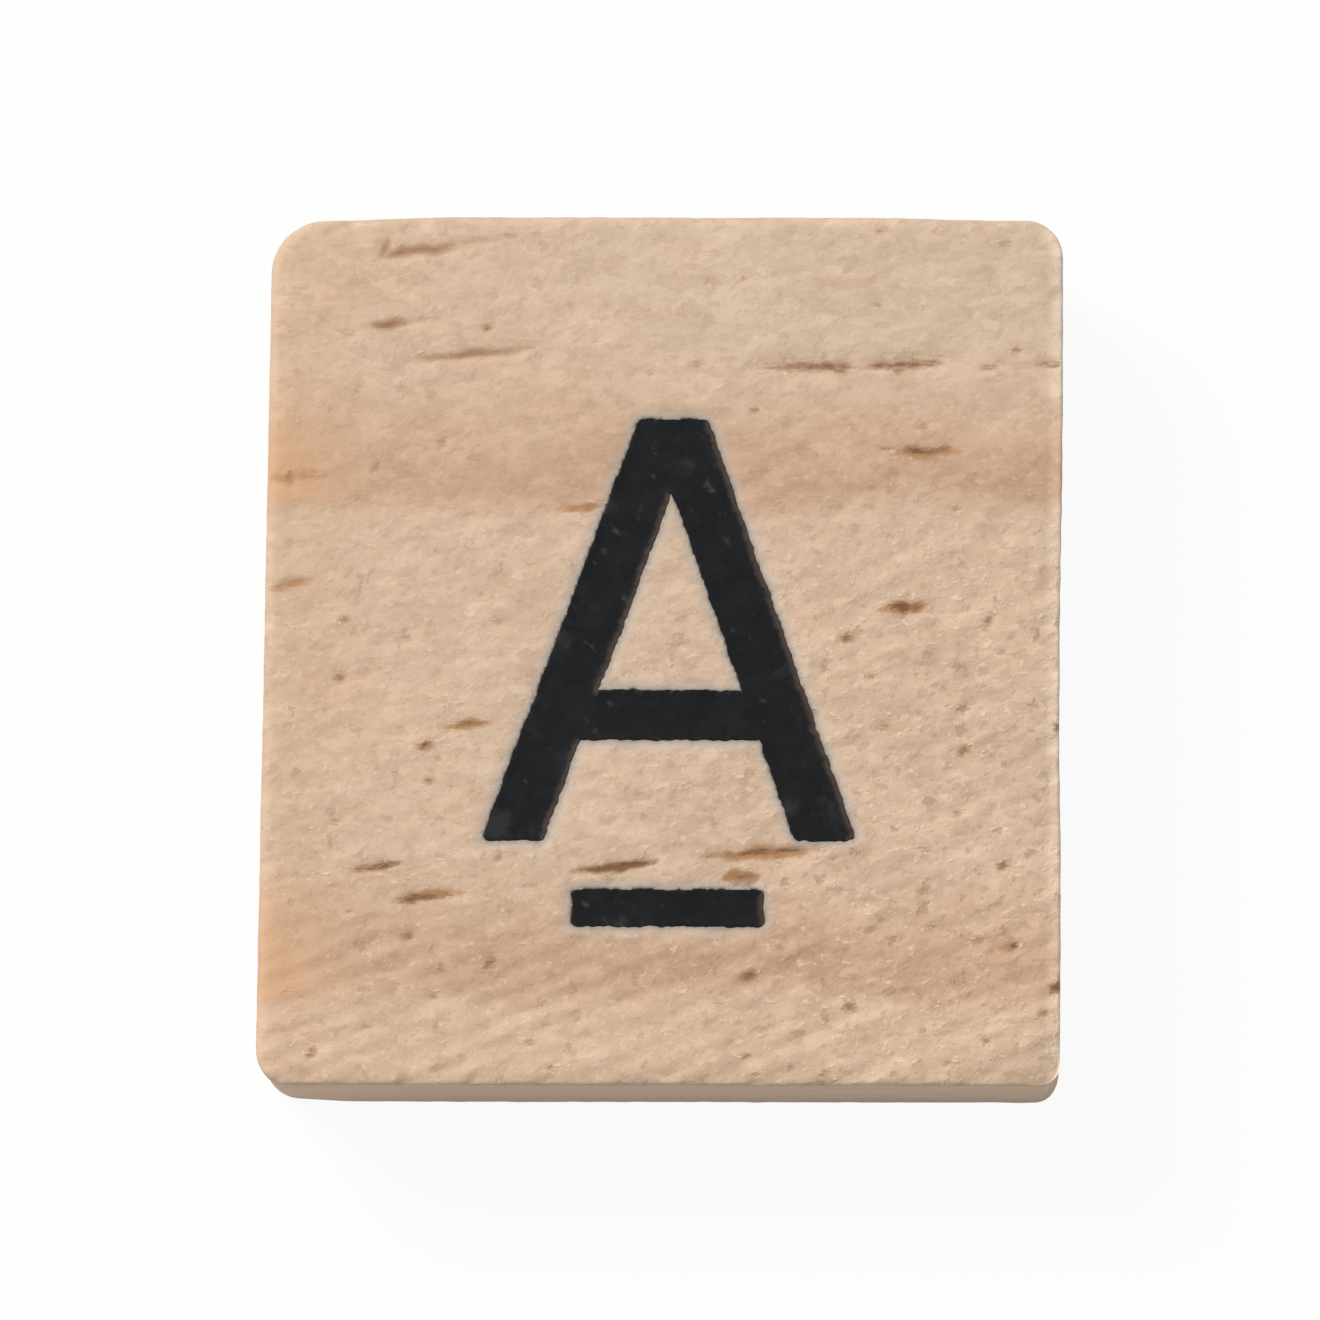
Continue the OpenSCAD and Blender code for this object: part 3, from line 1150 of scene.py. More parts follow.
class LayeredCoat(Coat):
    """A material made of layers, each laid over the colour so far, with its places in millimetres."""

    def __init__(self, name: str, effects: Effects, colour: Colour) -> None:
        """Opens the material and reads the long grain into it.

        Args:
            name: the material's name.
            effects: the shared node groups.
            colour: the colour under every layer.
        """
        super().__init__(name)
        self.effects = effects
        self.colour: Value = colour
        vector = self.node("ShaderNodeTexCoord").outputs["Object"]
        self.place = self.scaled(vector, (1 / MM, 1 / MM, 1 / MM))
        grain = self.node("ShaderNodeGroup", {"Vector": self.place}, node_tree=effects.long_grain)
        self.grain = grain.outputs

    def axes(self) -> bpy.types.NodeOutputs:
        """The x, y and z of each place."""
        return self.node("ShaderNodeSeparateXYZ", {0: self.place}).outputs

    def swing(self, cloud: Cloud) -> Socket:
        """A noise pattern about nought."""
        return self.about_nought(self.cloud(self.place, cloud))

    def flecks(self, layer: FibreLayer) -> bpy.types.NodeOutputs:
        """Adds one layer of torn fibre.

        Args:
            layer: how the flecks lie.

        Returns:
            The threads and the nicks.
        """
        lying = self.scaled(self.turned(self.place, layer.turn), layer.stretch)
        inputs = {"Vector": lying, "Cells": layer.cells, "Limit": layer.limit}
        return self.node("ShaderNodeGroup", inputs, node_tree=self.effects.torn_fibre).outputs

    def cover(self, share: Value, colour: Colour) -> None:
        """Lays a colour over a share of the surface."""
        self.colour = self.blend(share, self.colour, colour)

    def shade(self, factor: Socket) -> None:
        """Makes the surface lighter or darker, and warmer as it darkens.

        Args:
            factor: how light it becomes, about 1.
        """
        green, blue = (self.math("POWER", factor, fall) for fall in (GREEN_FALL, BLUE_FALL))
        tone = self.node("ShaderNodeCombineColor", {0: factor, 1: green, 2: blue}).outputs[0]
        self.colour = self.blend(1.0, self.colour, tone, Mix.TINT)

    def finish(self, rough: Socket, height: Socket, polish: Polish) -> bpy.types.Material:
        """Joins the layers to the shader.

        Args:
            rough: the roughness.
            height: the height of the fine relief.
            polish: what is the same all over.

        Returns:
            The material.
        """
        inputs = {"Strength": polish.strength, "Distance": polish.distance, "Height": height}
        bump = self.node("ShaderNodeBump", inputs).outputs[0]
        for name, value in (("Base Color", self.colour), ("Roughness", rough), ("Normal", bump)):
            self.feed(self.shader.inputs[name], value)
        self.shader.inputs["Specular IOR Level"].default_value = polish.specular
        return self.material


@dataclass(frozen=True)
class Stain:
    """A colour in cloudy patches: the noise that they follow and how much of it they cover."""

    colour: Colour
    cloud: Cloud
    share: Span

    def lay(self, coat: LayeredCoat, where: Value = 1.0) -> None:
        """Lays the patches over a material, or over the part of it where they belong."""
        patches = coat.span(coat.cloud(coat.place, self.cloud), self.share)
        coat.cover(coat.times(patches, where), self.colour)


@dataclass(frozen=True)
class GrowthRings:
    """Rings about a pith outside the block, in millimetres. Each darkens slowly and ends at once."""

    early: Colour = (0.66, 0.479, 0.344)
    late: Colour = (0.562, 0.36, 0.236)
    pith_y: float = 60.0
    pith_z: float = 35.0
    edge: float = 64.5
    width: float = 10.2
    sway: Cloud = Cloud((0.13, 0.3, 0.3))
    sway_reach: float = 1.3
    rag: Cloud = Cloud((0.8, 3.0, 3.0), 3.0, 0.6)
    rag_reach: float = 0.5
    darkening: Span = Span(0.66, 0.95)
    ending: Span = Span(1.0, 0.945)

    def lay(self, wood: LayeredCoat) -> Socket:
        """Darkens the wood by its rings.

        Args:
            wood: the material so far, in its earlywood's colour.

        Returns:
            How much of the wood is latewood.
        """
        _, y, z = wood.axes()
        across = wood.math("SUBTRACT", y, self.pith_y)
        down = wood.math("SUBTRACT", z, self.pith_z)
        far = wood.math("SQRT", wood.add_to(wood.times(down, down), across, across))
        far = wood.add_to(far, wood.swing(self.sway), self.sway_reach)
        far = wood.add_to(far, wood.swing(self.rag), self.rag_reach)
        share = wood.math("DIVIDE", wood.math("SUBTRACT", far, self.edge), self.width)
        share = wood.math("FRACT", share)
        late = wood.times(wood.span(share, self.darkening), wood.span(share, self.ending))
        wood.cover(late, self.late)
        return late


@dataclass(frozen=True)
class Mottle:
    """Soft patches that lean to rose and to straw, a paler head and a fresher foot."""

    rosy: Stain = Stain((0.68, 0.46, 0.325), Cloud((0.28, 0.5, 0.5), 3.0), Span(0.45, 0.75, 0.0, 0.5))
    straw: Stain = Stain((0.67, 0.505, 0.365), Cloud((0.374, 0.68, 1.02), 3.0), Span(0.5, 0.8, 0.0, 0.5))
    pale: Colour = (0.67, 0.5, 0.38)
    fresh: Colour = (0.693, 0.488, 0.342)
    pale_along: Span = Span(4.5, 9.0)
    pale_across: Span = Span(-6.0, 2.0, 0.0, 0.65)
    fresh_along: Span = Span(-7.0, -8.6, 0.0, 0.6)

    def lay(self, wood: LayeredCoat) -> None:
        """Lays the patches over the wood.

        Args:
            wood: the material so far.
        """
        self.rosy.lay(wood)
        self.straw.lay(wood)
        x, y, _ = wood.axes()
        wood.cover(wood.times(wood.span(y, self.pale_along), wood.span(x, self.pale_across)), self.pale)
        wood.cover(wood.span(y, self.fresh_along), self.fresh)


@dataclass(frozen=True)
class Blots:
    """Small angular patches where the sanding bit more or less, each a little lighter or darker."""

    turn: float = -10.0
    stretch: Triple = (0.8, 1.35, 1.0)
    stir: Cloud = Cloud((1.7, 1.7, 1.7), 3.0, 0.6)
    stir_reach: float = 0.7
    cells_and_weights: tuple[Pair, ...] = ((1.6, 0.09), (3.4, 0.12), (6.2, 0.06))
    fibre: Cloud = Cloud((0.7, 4.5, 1.0), 3.0, 0.6, -20.0)
    fibre_weight: Span = Span(0.5, 1.1, 0.05, 0.22)
    where_rough: Span = Span(0.2, 0.5, 0.2, 1.0)
    where_roughest: Span = Span(0.75, 1.1, 0.0, 0.2)

    def lay(self, wood: LayeredCoat) -> None:
        """Lays the patches over the wood.

        Args:
            wood: the material so far.
        """
        lying = wood.scaled(wood.turned(wood.place, self.turn), self.stretch)
        stirred = wood.stirred(lying, self.stir, self.stir_reach)
        torn = wood.attribute("torn")
        total = wood.times(wood.swing(self.fibre), wood.span(torn, self.fibre_weight))
        for scale, weight in self.cells_and_weights:
            _, lots = wood.cells(stirred, scale)
            total = wood.add_to(total, wood.about_nought(lots[0]), weight)
        uneven = wood.math("ADD", wood.span(torn, self.where_rough), wood.span(torn, self.where_roughest))
        wood.shade(wood.add_to(1.0, total, uneven))


@dataclass(frozen=True)
class GrainLines:
    """Lines along the grain, plainest on the sides, with resin canals there, painted shade on the sides, and
    a painted highlight on the right edge, which also reads as a pale rubbed edge.
    """

    broad: Span = Span(0.3, 0.7, 0.98, 1.02)
    # Painted shade that darkens the sides of the block
    painted_side_shade: float = -0.05
    # Painted highlight on the right edge, which also reads as a pale rubbed edge
    painted_edge_light: float = 0.42
    face_weight: float = 0.1
    side_weight: float = 0.16
    canals: Stain = Stain(RESIN_BROWN, Cloud((0.6, 7.0, 7.0)), Span(0.66, 0.76, 0.0, 0.4))

    def lay(self, wood: LayeredCoat) -> None:
        """Lays the lines over the wood.

        Args:
            wood: the material so far.
        """
        side = wood.attribute("side")
        shade = wood.span(wood.grain["Broad"], self.broad)
        # Painted shade on the sides
        shade = wood.add_to(shade, side, self.painted_side_shade)
        # Painted highlight along the right edge
        shade = wood.add_to(shade, wood.attribute("rubbed_and_lit"), self.painted_edge_light)
        weight = wood.add_to(self.face_weight, side, self.side_weight)
        wood.shade(wood.add_to(shade, wood.about_nought(wood.grain["Fine"]), weight))
        self.canals.lay(wood, side)


@dataclass(frozen=True)
class SawnEnds:
    """Fine saw lines, open pores and canals seen end on, where the fibres were cut across."""

    lines: Cloud = Cloud((1.0, 6.0, 0.6), 3.0, 0.65)
    line_weight: float = 0.36
    pores: Stain = Stain(TORN_BROWN, Cloud((1.0, 7.5, 7.5), 2.0, 0.6), Span(0.56, 0.7, 0.0, 0.4))
    canal_stretch: Triple = (0.1, 1.0, 1.0)
    canal_cells: float = 0.8
    canal_edge: Span = Span(0.1, 0.03)
    canal_chosen: Span = Span(0.35, 0.6, 0.0, 0.7)

    def lay(self, wood: LayeredCoat) -> None:
        """Lays the saw's marks over the ends of the block.

        Args:
            wood: the material so far.
        """
        end = wood.attribute("end")
        wood.shade(wood.add_to(1.0, wood.times(wood.swing(self.lines), end), self.line_weight))
        self.pores.lay(wood, end)
        off, lots = wood.cells(wood.scaled(wood.place, self.canal_stretch), self.canal_cells)
        canals = wood.times(wood.span(off, self.canal_edge), wood.span(lots[0], self.canal_chosen))
        wood.cover(wood.times(canals, end), RESIN_BROWN)


@dataclass(frozen=True)
class Specks:
    """Raised pale threads, small dark nicks and soft brown spots, as many as the face is rough, with more
    pale threads beside the resin as painted glints.
    """

    # Pale raised fibre, and painted glints beside the resin
    pale_thread_and_glint: Colour = (0.875, 0.66, 0.49)
    thread_share: float = 0.5
    nick_share: float = 0.36
    level: FibreLayer = FibreLayer(5.0, turn=12.0)
    steep: FibreLayer = FibreLayer(5.6, turn=-20.0)
    broad: FibreLayer = FibreLayer(3.0, stretch=(-1.0, -0.9, 1.0))
    steep_thread: float = 0.45
    steep_nick: float = 0.8
    spot_weight: float = 1.4
    where_rough: Span = Span(0.5, 1.1, 0.3, 1.1)
    # More pale threads in the skirts of the resin: painted glints
    glint_beside_resin: Span = Span(0.02, 0.12, 0.0, 0.6)
    spot_stir: Cloud = Cloud((5.0, 5.0, 5.0), 3.0, 0.7)
    spot_stir_reach: float = 0.55
    spot_cells: float = 1.25
    spot_growth: Span = Span(0.0, 1.0, 0.0, 0.07)
    spot_edge: Span = Span(0.14, 0.02)
    spot_chosen: Span = Span(0.6, 0.75)

    def lay(self, wood: LayeredCoat) -> tuple[Socket, Socket]:
        """Lays the specks over the wood.

        Args:
            wood: the material so far.

        Returns:
            The threads and the nicks.
        """
        torn = wood.attribute("torn")
        level, steep, broad = (wood.flecks(layer) for layer in (self.level, self.steep, self.broad))
        steep_threads = wood.times(steep["Thread"], self.steep_thread)
        threads = wood.math("MAXIMUM", level["Thread"], steep_threads)
        nicks = wood.math("MAXIMUM", broad["Nick"], wood.times(steep["Nick"], self.steep_nick))
        nicks = wood.math("MAXIMUM", nicks, wood.times(self._spots(wood), self.spot_weight))
        nicks = wood.times(nicks, torn)
        # Painted glints: more pale threads in the skirts of the streaks and pits
        painted_glint_beside_resin = wood.span(wood.attribute("resin"), self.glint_beside_resin)
        raised = wood.math("ADD", wood.span(torn, self.where_rough), painted_glint_beside_resin)
        threads = wood.times(threads, raised)
        wood.cover(wood.times(threads, self.thread_share), self.pale_thread_and_glint)
        wood.cover(wood.times(nicks, self.nick_share), TORN_BROWN)
        return threads, nicks

    def _spots(self, wood: LayeredCoat) -> Socket:
        """Chooses few and uneven spots, where a tuft of fibre has gone from the face.

        Args:
            wood: the material so far.

        Returns:
            How much of the face is spot.
        """
        stirred = wood.stirred(wood.place, self.spot_stir, self.spot_stir_reach)
        off, lots = wood.cells(stirred, self.spot_cells, voronoi_dimensions="2D")
        reach = wood.math("SUBTRACT", off, wood.span(lots[1], self.spot_growth))
        spot = wood.times(wood.span(reach, self.spot_edge), wood.span(lots[0], self.spot_chosen))
        return wood.times(spot, wood.math("SUBTRACT", 1.0, wood.attribute("side"), clamp=True))


@dataclass(frozen=True)
class Resin:
    """Brown and amber resin in the streaks and pits, with edges broken by the fibres, and a blush."""

    dark: Colour = (0.155, 0.068, 0.025)
    amber: Colour = (0.42, 0.2, 0.075)
    blush: Colour = (0.665, 0.402, 0.238)
    broken: Cloud = Cloud((5.0, 14.0, 14.0), 3.0, 0.7)
    amber_break: float = 0.6
    brown_break: float = 0.9
    amber_share: Span = Span(0.12, 0.75, 0.0, 0.9)
    brown_share: Span = Span(0.1, 0.6, 0.0, 0.75)
    dark_share: Span = Span(0.4, 0.95, 0.0, 0.85)
    blush_in_early: float = 0.15
    blush_share: float = 0.85

    def lay(self, wood: LayeredCoat, late: Socket) -> Socket:
        """Lays the resin over the wood.

        Args:
            wood: the material so far.
            late: how much of the wood is latewood.

        Returns:
            How much of the wood is brown with resin.
        """
        broken = wood.times(wood.swing(self.broken), wood.attribute("ragged"))
        amber = wood.add_to(wood.attribute("amber"), broken, self.amber_break)
        resin = wood.add_to(wood.attribute("resin"), broken, self.brown_break)
        brown = wood.span(resin, self.brown_share)
        blush = wood.times(wood.attribute("blush"), wood.math("ADD", late, self.blush_in_early))
        wood.cover(wood.math("MULTIPLY", blush, self.blush_share, clamp=True), self.blush)
        wood.cover(wood.span(amber, self.amber_share), self.amber)
        wood.cover(brown, RESIN_BROWN)
        wood.cover(wood.span(resin, self.dark_share), self.dark)
        return brown


@dataclass(frozen=True)
class StampRim:
    """Wood pressed grey beside the stamp, with ink that crept into it, and stained inside it."""

    pressed: Colour = (0.485, 0.445, 0.4)
    feathered: Colour = (0.12, 0.1, 0.085)
    stained: Colour = (0.03, 0.024, 0.02)
    pressed_share: float = 0.7
    feather_power: float = 6.0
    feather_share: float = 0.45

    def lay(self, wood: LayeredCoat) -> None:
        """Lays the rim over the wood.

        Args:
            wood: the material so far.
        """
        pressed = wood.attribute("pressed")
        wood.cover(wood.times(pressed, self.pressed_share), self.pressed)
        feather = wood.math("POWER", pressed, self.feather_power)
        wood.cover(wood.times(feather, self.feather_share), self.feathered)
        wood.cover(wood.attribute("recess"), self.stained)


@dataclass(frozen=True)
class Softwood:
    """Pale, fast-grown softwood, sawn, sanded and left bare."""

    rings: GrowthRings = GrowthRings()
    mottle: Mottle = Mottle()
    blots: Blots = Blots()
    lines: GrainLines = GrainLines()
    ends: SawnEnds = SawnEnds()
    specks: Specks = Specks()
    resin: Resin = Resin()
    rim: StampRim = StampRim()
    roughness: float = 0.58
    grain_roughness: float = 0.16
    resin_gloss: float = 0.18
    fuzz: Cloud = Cloud((9.0, 9.0, 9.0), 3.0, 0.65)
    fuzz_height: float = 0.8
    grain_height: float = 0.5
    thread_height: float = 0.6
    nick_depth: float = 0.5
    polish: Polish = Polish(0.25, 0.8, 0.018 * MM)

    def material(self, effects: Effects) -> bpy.types.Material:
        """Draws up the wood: rings, patches, grain, specks, resin and the pressed rim of the stamp.

        Args:
            effects: the shared node groups.

        Returns:
            The material.
        """
        wood = LayeredCoat("bare_softwood", effects, self.rings.early)
        late = self.rings.lay(wood)
        for layer in (self.mottle, self.blots, self.lines, self.ends):
            layer.lay(wood)
        threads, nicks = self.specks.lay(wood)
        resin = self.resin.lay(wood, late)
        self.rim.lay(wood)
        rough = wood.add_to(self.roughness, wood.grain["Fine"], self.grain_roughness)
        rough = wood.add_to(rough, resin, -self.resin_gloss)
        height = wood.times(wood.cloud(wood.place, self.fuzz), self.fuzz_height)
        height = wood.add_to(height, wood.grain["Height"], self.grain_height)
        height = wood.add_to(height, threads, self.thread_height)
        height = wood.add_to(height, nicks, -self.nick_depth)
        return wood.finish(rough, height, self.polish)


@dataclass(frozen=True)
class StampInk:
    """Black ink dried on the floor of a stamp, thin and brown where it climbs the edge, the brown on the
    right-hand edges alone as painted light on the walls that face the lamp.
    """

    black: Colour = (0.0065, 0.0075, 0.009)
    grey: Stain = Stain((0.011, 0.0125, 0.0145), Cloud((1.6, 1.6, 1.6), 4.0, 0.6), Span(0.35, 0.7))
    smudge: Stain = Stain(
        (0.036, 0.039, 0.042), Cloud((0.75, 0.75, 0.75), 4.0, 0.62, 35.0), Span(0.58, 0.76, 0.0, 0.65)
    )
    # Brown of thin ink, and painted light on the right-hand walls that face the lamp
    thin_and_lit: Colour = (0.075, 0.055, 0.043)
    # Pale specks: dust, and painted glints on the ink
    glint: Colour = (0.16, 0.17, 0.17)
    specks: FibreLayer = FibreLayer(2.6, 0.66, 60.0)
    speck_share: float = 0.25
    edge_cloud: Cloud = Cloud((7.0, 7.0, 7.0), 3.0)
    edge_break: float = 0.9
    edge_share: Span = Span(0.2, 1.15)
    roughness: Span = Span(0.3, 0.7, 0.45, 0.62)
    fuzz: Cloud = Cloud((8.0, 8.0, 8.0), 3.0, 0.6)
    grain_height: float = 0.6
    polish: Polish = Polish(0.08, 0.6, 0.012 * MM)

    def material(self, effects: Effects) -> bpy.types.Material:
        """Draws up the ink: cloudy black, dull grain, pale specks that are partly dust and partly painted
        glints, and a thin brown edge that is partly painted light.

        Args:
            effects: the shared node groups.

        Returns:
            The material.
        """
        ink = LayeredCoat("stamp_ink", effects, self.black)
        self.grey.lay(ink)
        self.smudge.lay(ink)
        # Pale specks: dust, and painted glints
        speck = ink.flecks(self.specks)["Nick"]
        ink.cover(ink.times(speck, self.speck_share), self.glint)
        # Thin brown edge: thin ink, and painted light on the right-hand walls
        edge = ink.add_to(ink.attribute("thin_and_lit"), ink.swing(self.edge_cloud), self.edge_break)
        ink.cover(ink.span(edge, self.edge_share), self.thin_and_lit)
        fuzz = ink.math("ADD", ink.cloud(ink.place, self.fuzz), speck)
        height = ink.add_to(fuzz, ink.grain["Fine"], self.grain_height)
        return ink.finish(ink.span(ink.grain["Fine"], self.roughness), height, self.polish)


@dataclass(frozen=True)
class SandedFace:
    """The relief that the sanding left on the face, in millimetres."""

    lumps: tuple[Ripple, ...] = (Ripple(0.018, (0.5, 0.33), 9.4, 8.0), Ripple(0.008, (0.13, 0.11), 6.6))
    creases: tuple[Ripple, ...] = (
        Ripple(0.02, (0.42, 0.27), 2.2, 14.0),
        Ripple(0.011, (0.22, 0.17), 4.7, 20.0),
    )
    waves: Ripple = Ripple(0.014, (6.0, 3.5), 8.8)
    scratches: Ripple = Ripple(0.5, (1.2, 0.18), 5.7, 20.0)
    foot_ridges: Ridges = Ridges(21.5, 0.55, 3.1)
    foot_along: Span = Span(-4.0, -8.3, 0.0, 0.0125)
    foot_across: Span = Span(7.0, 3.0, 0.85, 1.1)
    foot_middle: float = 1.5
    mid_ridges: Ridges = Ridges(31.0, 0.8, 12.6)
    mid_from_foot: Span = Span(-8.0, -4.5, 0.0, 0.0075)
    mid_from_head: Span = Span(7.0, 3.0)
    mid_across: Span = Span(-3.0, 4.0, 0.5, 1.0)
    calm_foot: Span = Span(-6.0, -8.5, 1.0, 0.75)
    rough_along: Span = Span(7.0, -1.0, 0.5, 0.8)
    rough_right: Span = Span(-3.0, 7.0, 0.0, 0.35)
    rough_right_along: Span = Span(8.0, -2.0)
    set_down: float = 0.05

    def torn(self, flat: np.ndarray) -> np.ndarray:
        """How rough the face is: smooth at the head, roughest at the foot's right corner."""
        x, y = flat.T
        return self.rough_along.at(y) + self.rough_right.at(x) * self.rough_right_along.at(y)

    def height(self, flat: np.ndarray) -> np.ndarray:
        """Adds up the lumps, the belt's ridges and the waves of the face.

        Args:
            flat: rows of x and y in millimetres.

        Returns:
            One height for each row, in millimetres.
        """
        x, y = flat.T
        lumps = sum(lump.at(flat) for lump in self.lumps)
        lumps -= sum(np.abs(crease.at(flat)) for crease in self.creases)
        foot = self.foot_along.at(y) * self.foot_across.at(np.abs(x - self.foot_middle))
        middle = self.mid_from_foot.at(y) * self.mid_from_head.at(y) * self.mid_across.at(x)
        belt = foot * (self.foot_ridges.at(flat) + self.scratches.at(flat))
        belt += middle * self.mid_ridges.at(flat)
        return self.torn(flat) * self.calm_foot.at(y) * lumps + belt + self.waves.at(flat) - self.set_down


@dataclass(frozen=True)
class WornEdges:
    """How the edges of the face, and most of all its foot's right corner, wore down, in millimetres."""

    corner_drop: Span = Span(1.3, 0.2, 0.0, 0.16)
    rub: Ripple = Ripple(0.5, (2.2, 2.2), 4.4)
    rub_mean: float = 0.5
    rub_drop: Span = Span(0.55, 0.0, 0.0, 0.05)
    chips: Ripple = Ripple(1.0, (0.5, 0.4), 9.9)
    chip_limit: float = 0.15
    chip_drop: Span = Span(0.45, 0.1, 0.0, 0.12)

    def drop(self, points: np.ndarray, plan: RoundedPlan) -> np.ndarray:
        """Says how much lower the wear makes the face.

        Args:
            points: rows of x, y and z in metres.
            plan: the outline of the block.

        Returns:
            One depth for each row, in millimetres.
        """
        corner = np.hypot(points[:, 0] - plan.half_w, points[:, 1] + plan.half_l) / MM
        edge = plan.depth(points) / MM
        rubbed_and_lit = self.rub_mean + self.rub.at(points / MM)
        chipped = np.maximum(self.chips.at(points / MM) - self.chip_limit, 0.0)
        along_edge = rubbed_and_lit * self.rub_drop.at(edge) + chipped * self.chip_drop.at(edge)
        return self.corner_drop.at(corner) + along_edge


@dataclass(frozen=True)
class SawnSides:
    """How the saw left the sides, a little out of flat and out of square, in millimetres."""

    marks: tuple[Ripple, ...] = (Ripple(0.012, (0.35, 1.6), 6.1), Ripple(0.01, (1.4, 4.0), 1.7))
    girth: float = 9.0
    set_in: float = 0.02
    near_side: Span = Span(0.3, 0.0)
    near_head: Span = Span(5.0, 9.0)
    near_foot: Span = Span(-8.5, -9.8)
    near_right: Span = Span(7.0, 9.0)
    near_left: Span = Span(-7.0, -9.0)
    near_base: Span = Span(0.3, 4.0)
    head_sag_left: Span = Span(-4.5, -8.5, 0.0, 0.1)
    head_sag_right: Span = Span(4.5, 8.5, 0.0, 0.065)
    right_bow: Span = Span(4.5, 1.5, 0.0, 0.045)
    right_bow_y: float = -0.5
    right_flare: Span = Span(-2.0, -9.0, 0.0, 0.14)
    left_in: float = 0.03
    foot_in: float = 0.04
    foot_left_in: float = 0.08

    def shift(self, points: np.ndarray, below: np.ndarray, plan: RoundedPlan) -> None:
        """Moves the sides.

        Args:
            points: rows of x, y and z in metres, which are moved.
            below: how far each lies below the face, in metres.
            plan: the outline of the block.
        """
        x, y, _ = points.T / MM
        around = np.column_stack((np.arctan2(y, x) * self.girth, below / MM))
        saw = sum(mark.at(around) for mark in self.marks) - self.set_in
        saw *= self.near_side.at(plan.depth(points) / MM)
        base, left, right = self.near_base.at(below / MM), self.near_left.at(x), self.near_right.at(x)
        bow = right * self.right_bow.at(np.abs(y - self.right_bow_y))
        flare = base * right * self.right_flare.at(y)
        sag = (self.head_sag_left.at(x) + self.head_sag_right.at(x)) * self.near_head.at(y)
        foot = base * (self.foot_in + self.foot_left_in * left) * self.near_foot.at(y)
        trim = np.column_stack((self.left_in * left + flare - bow, foot - sag))
        points[:, :2] += MM * (saw[:, None] * plan.outward(points) + trim)


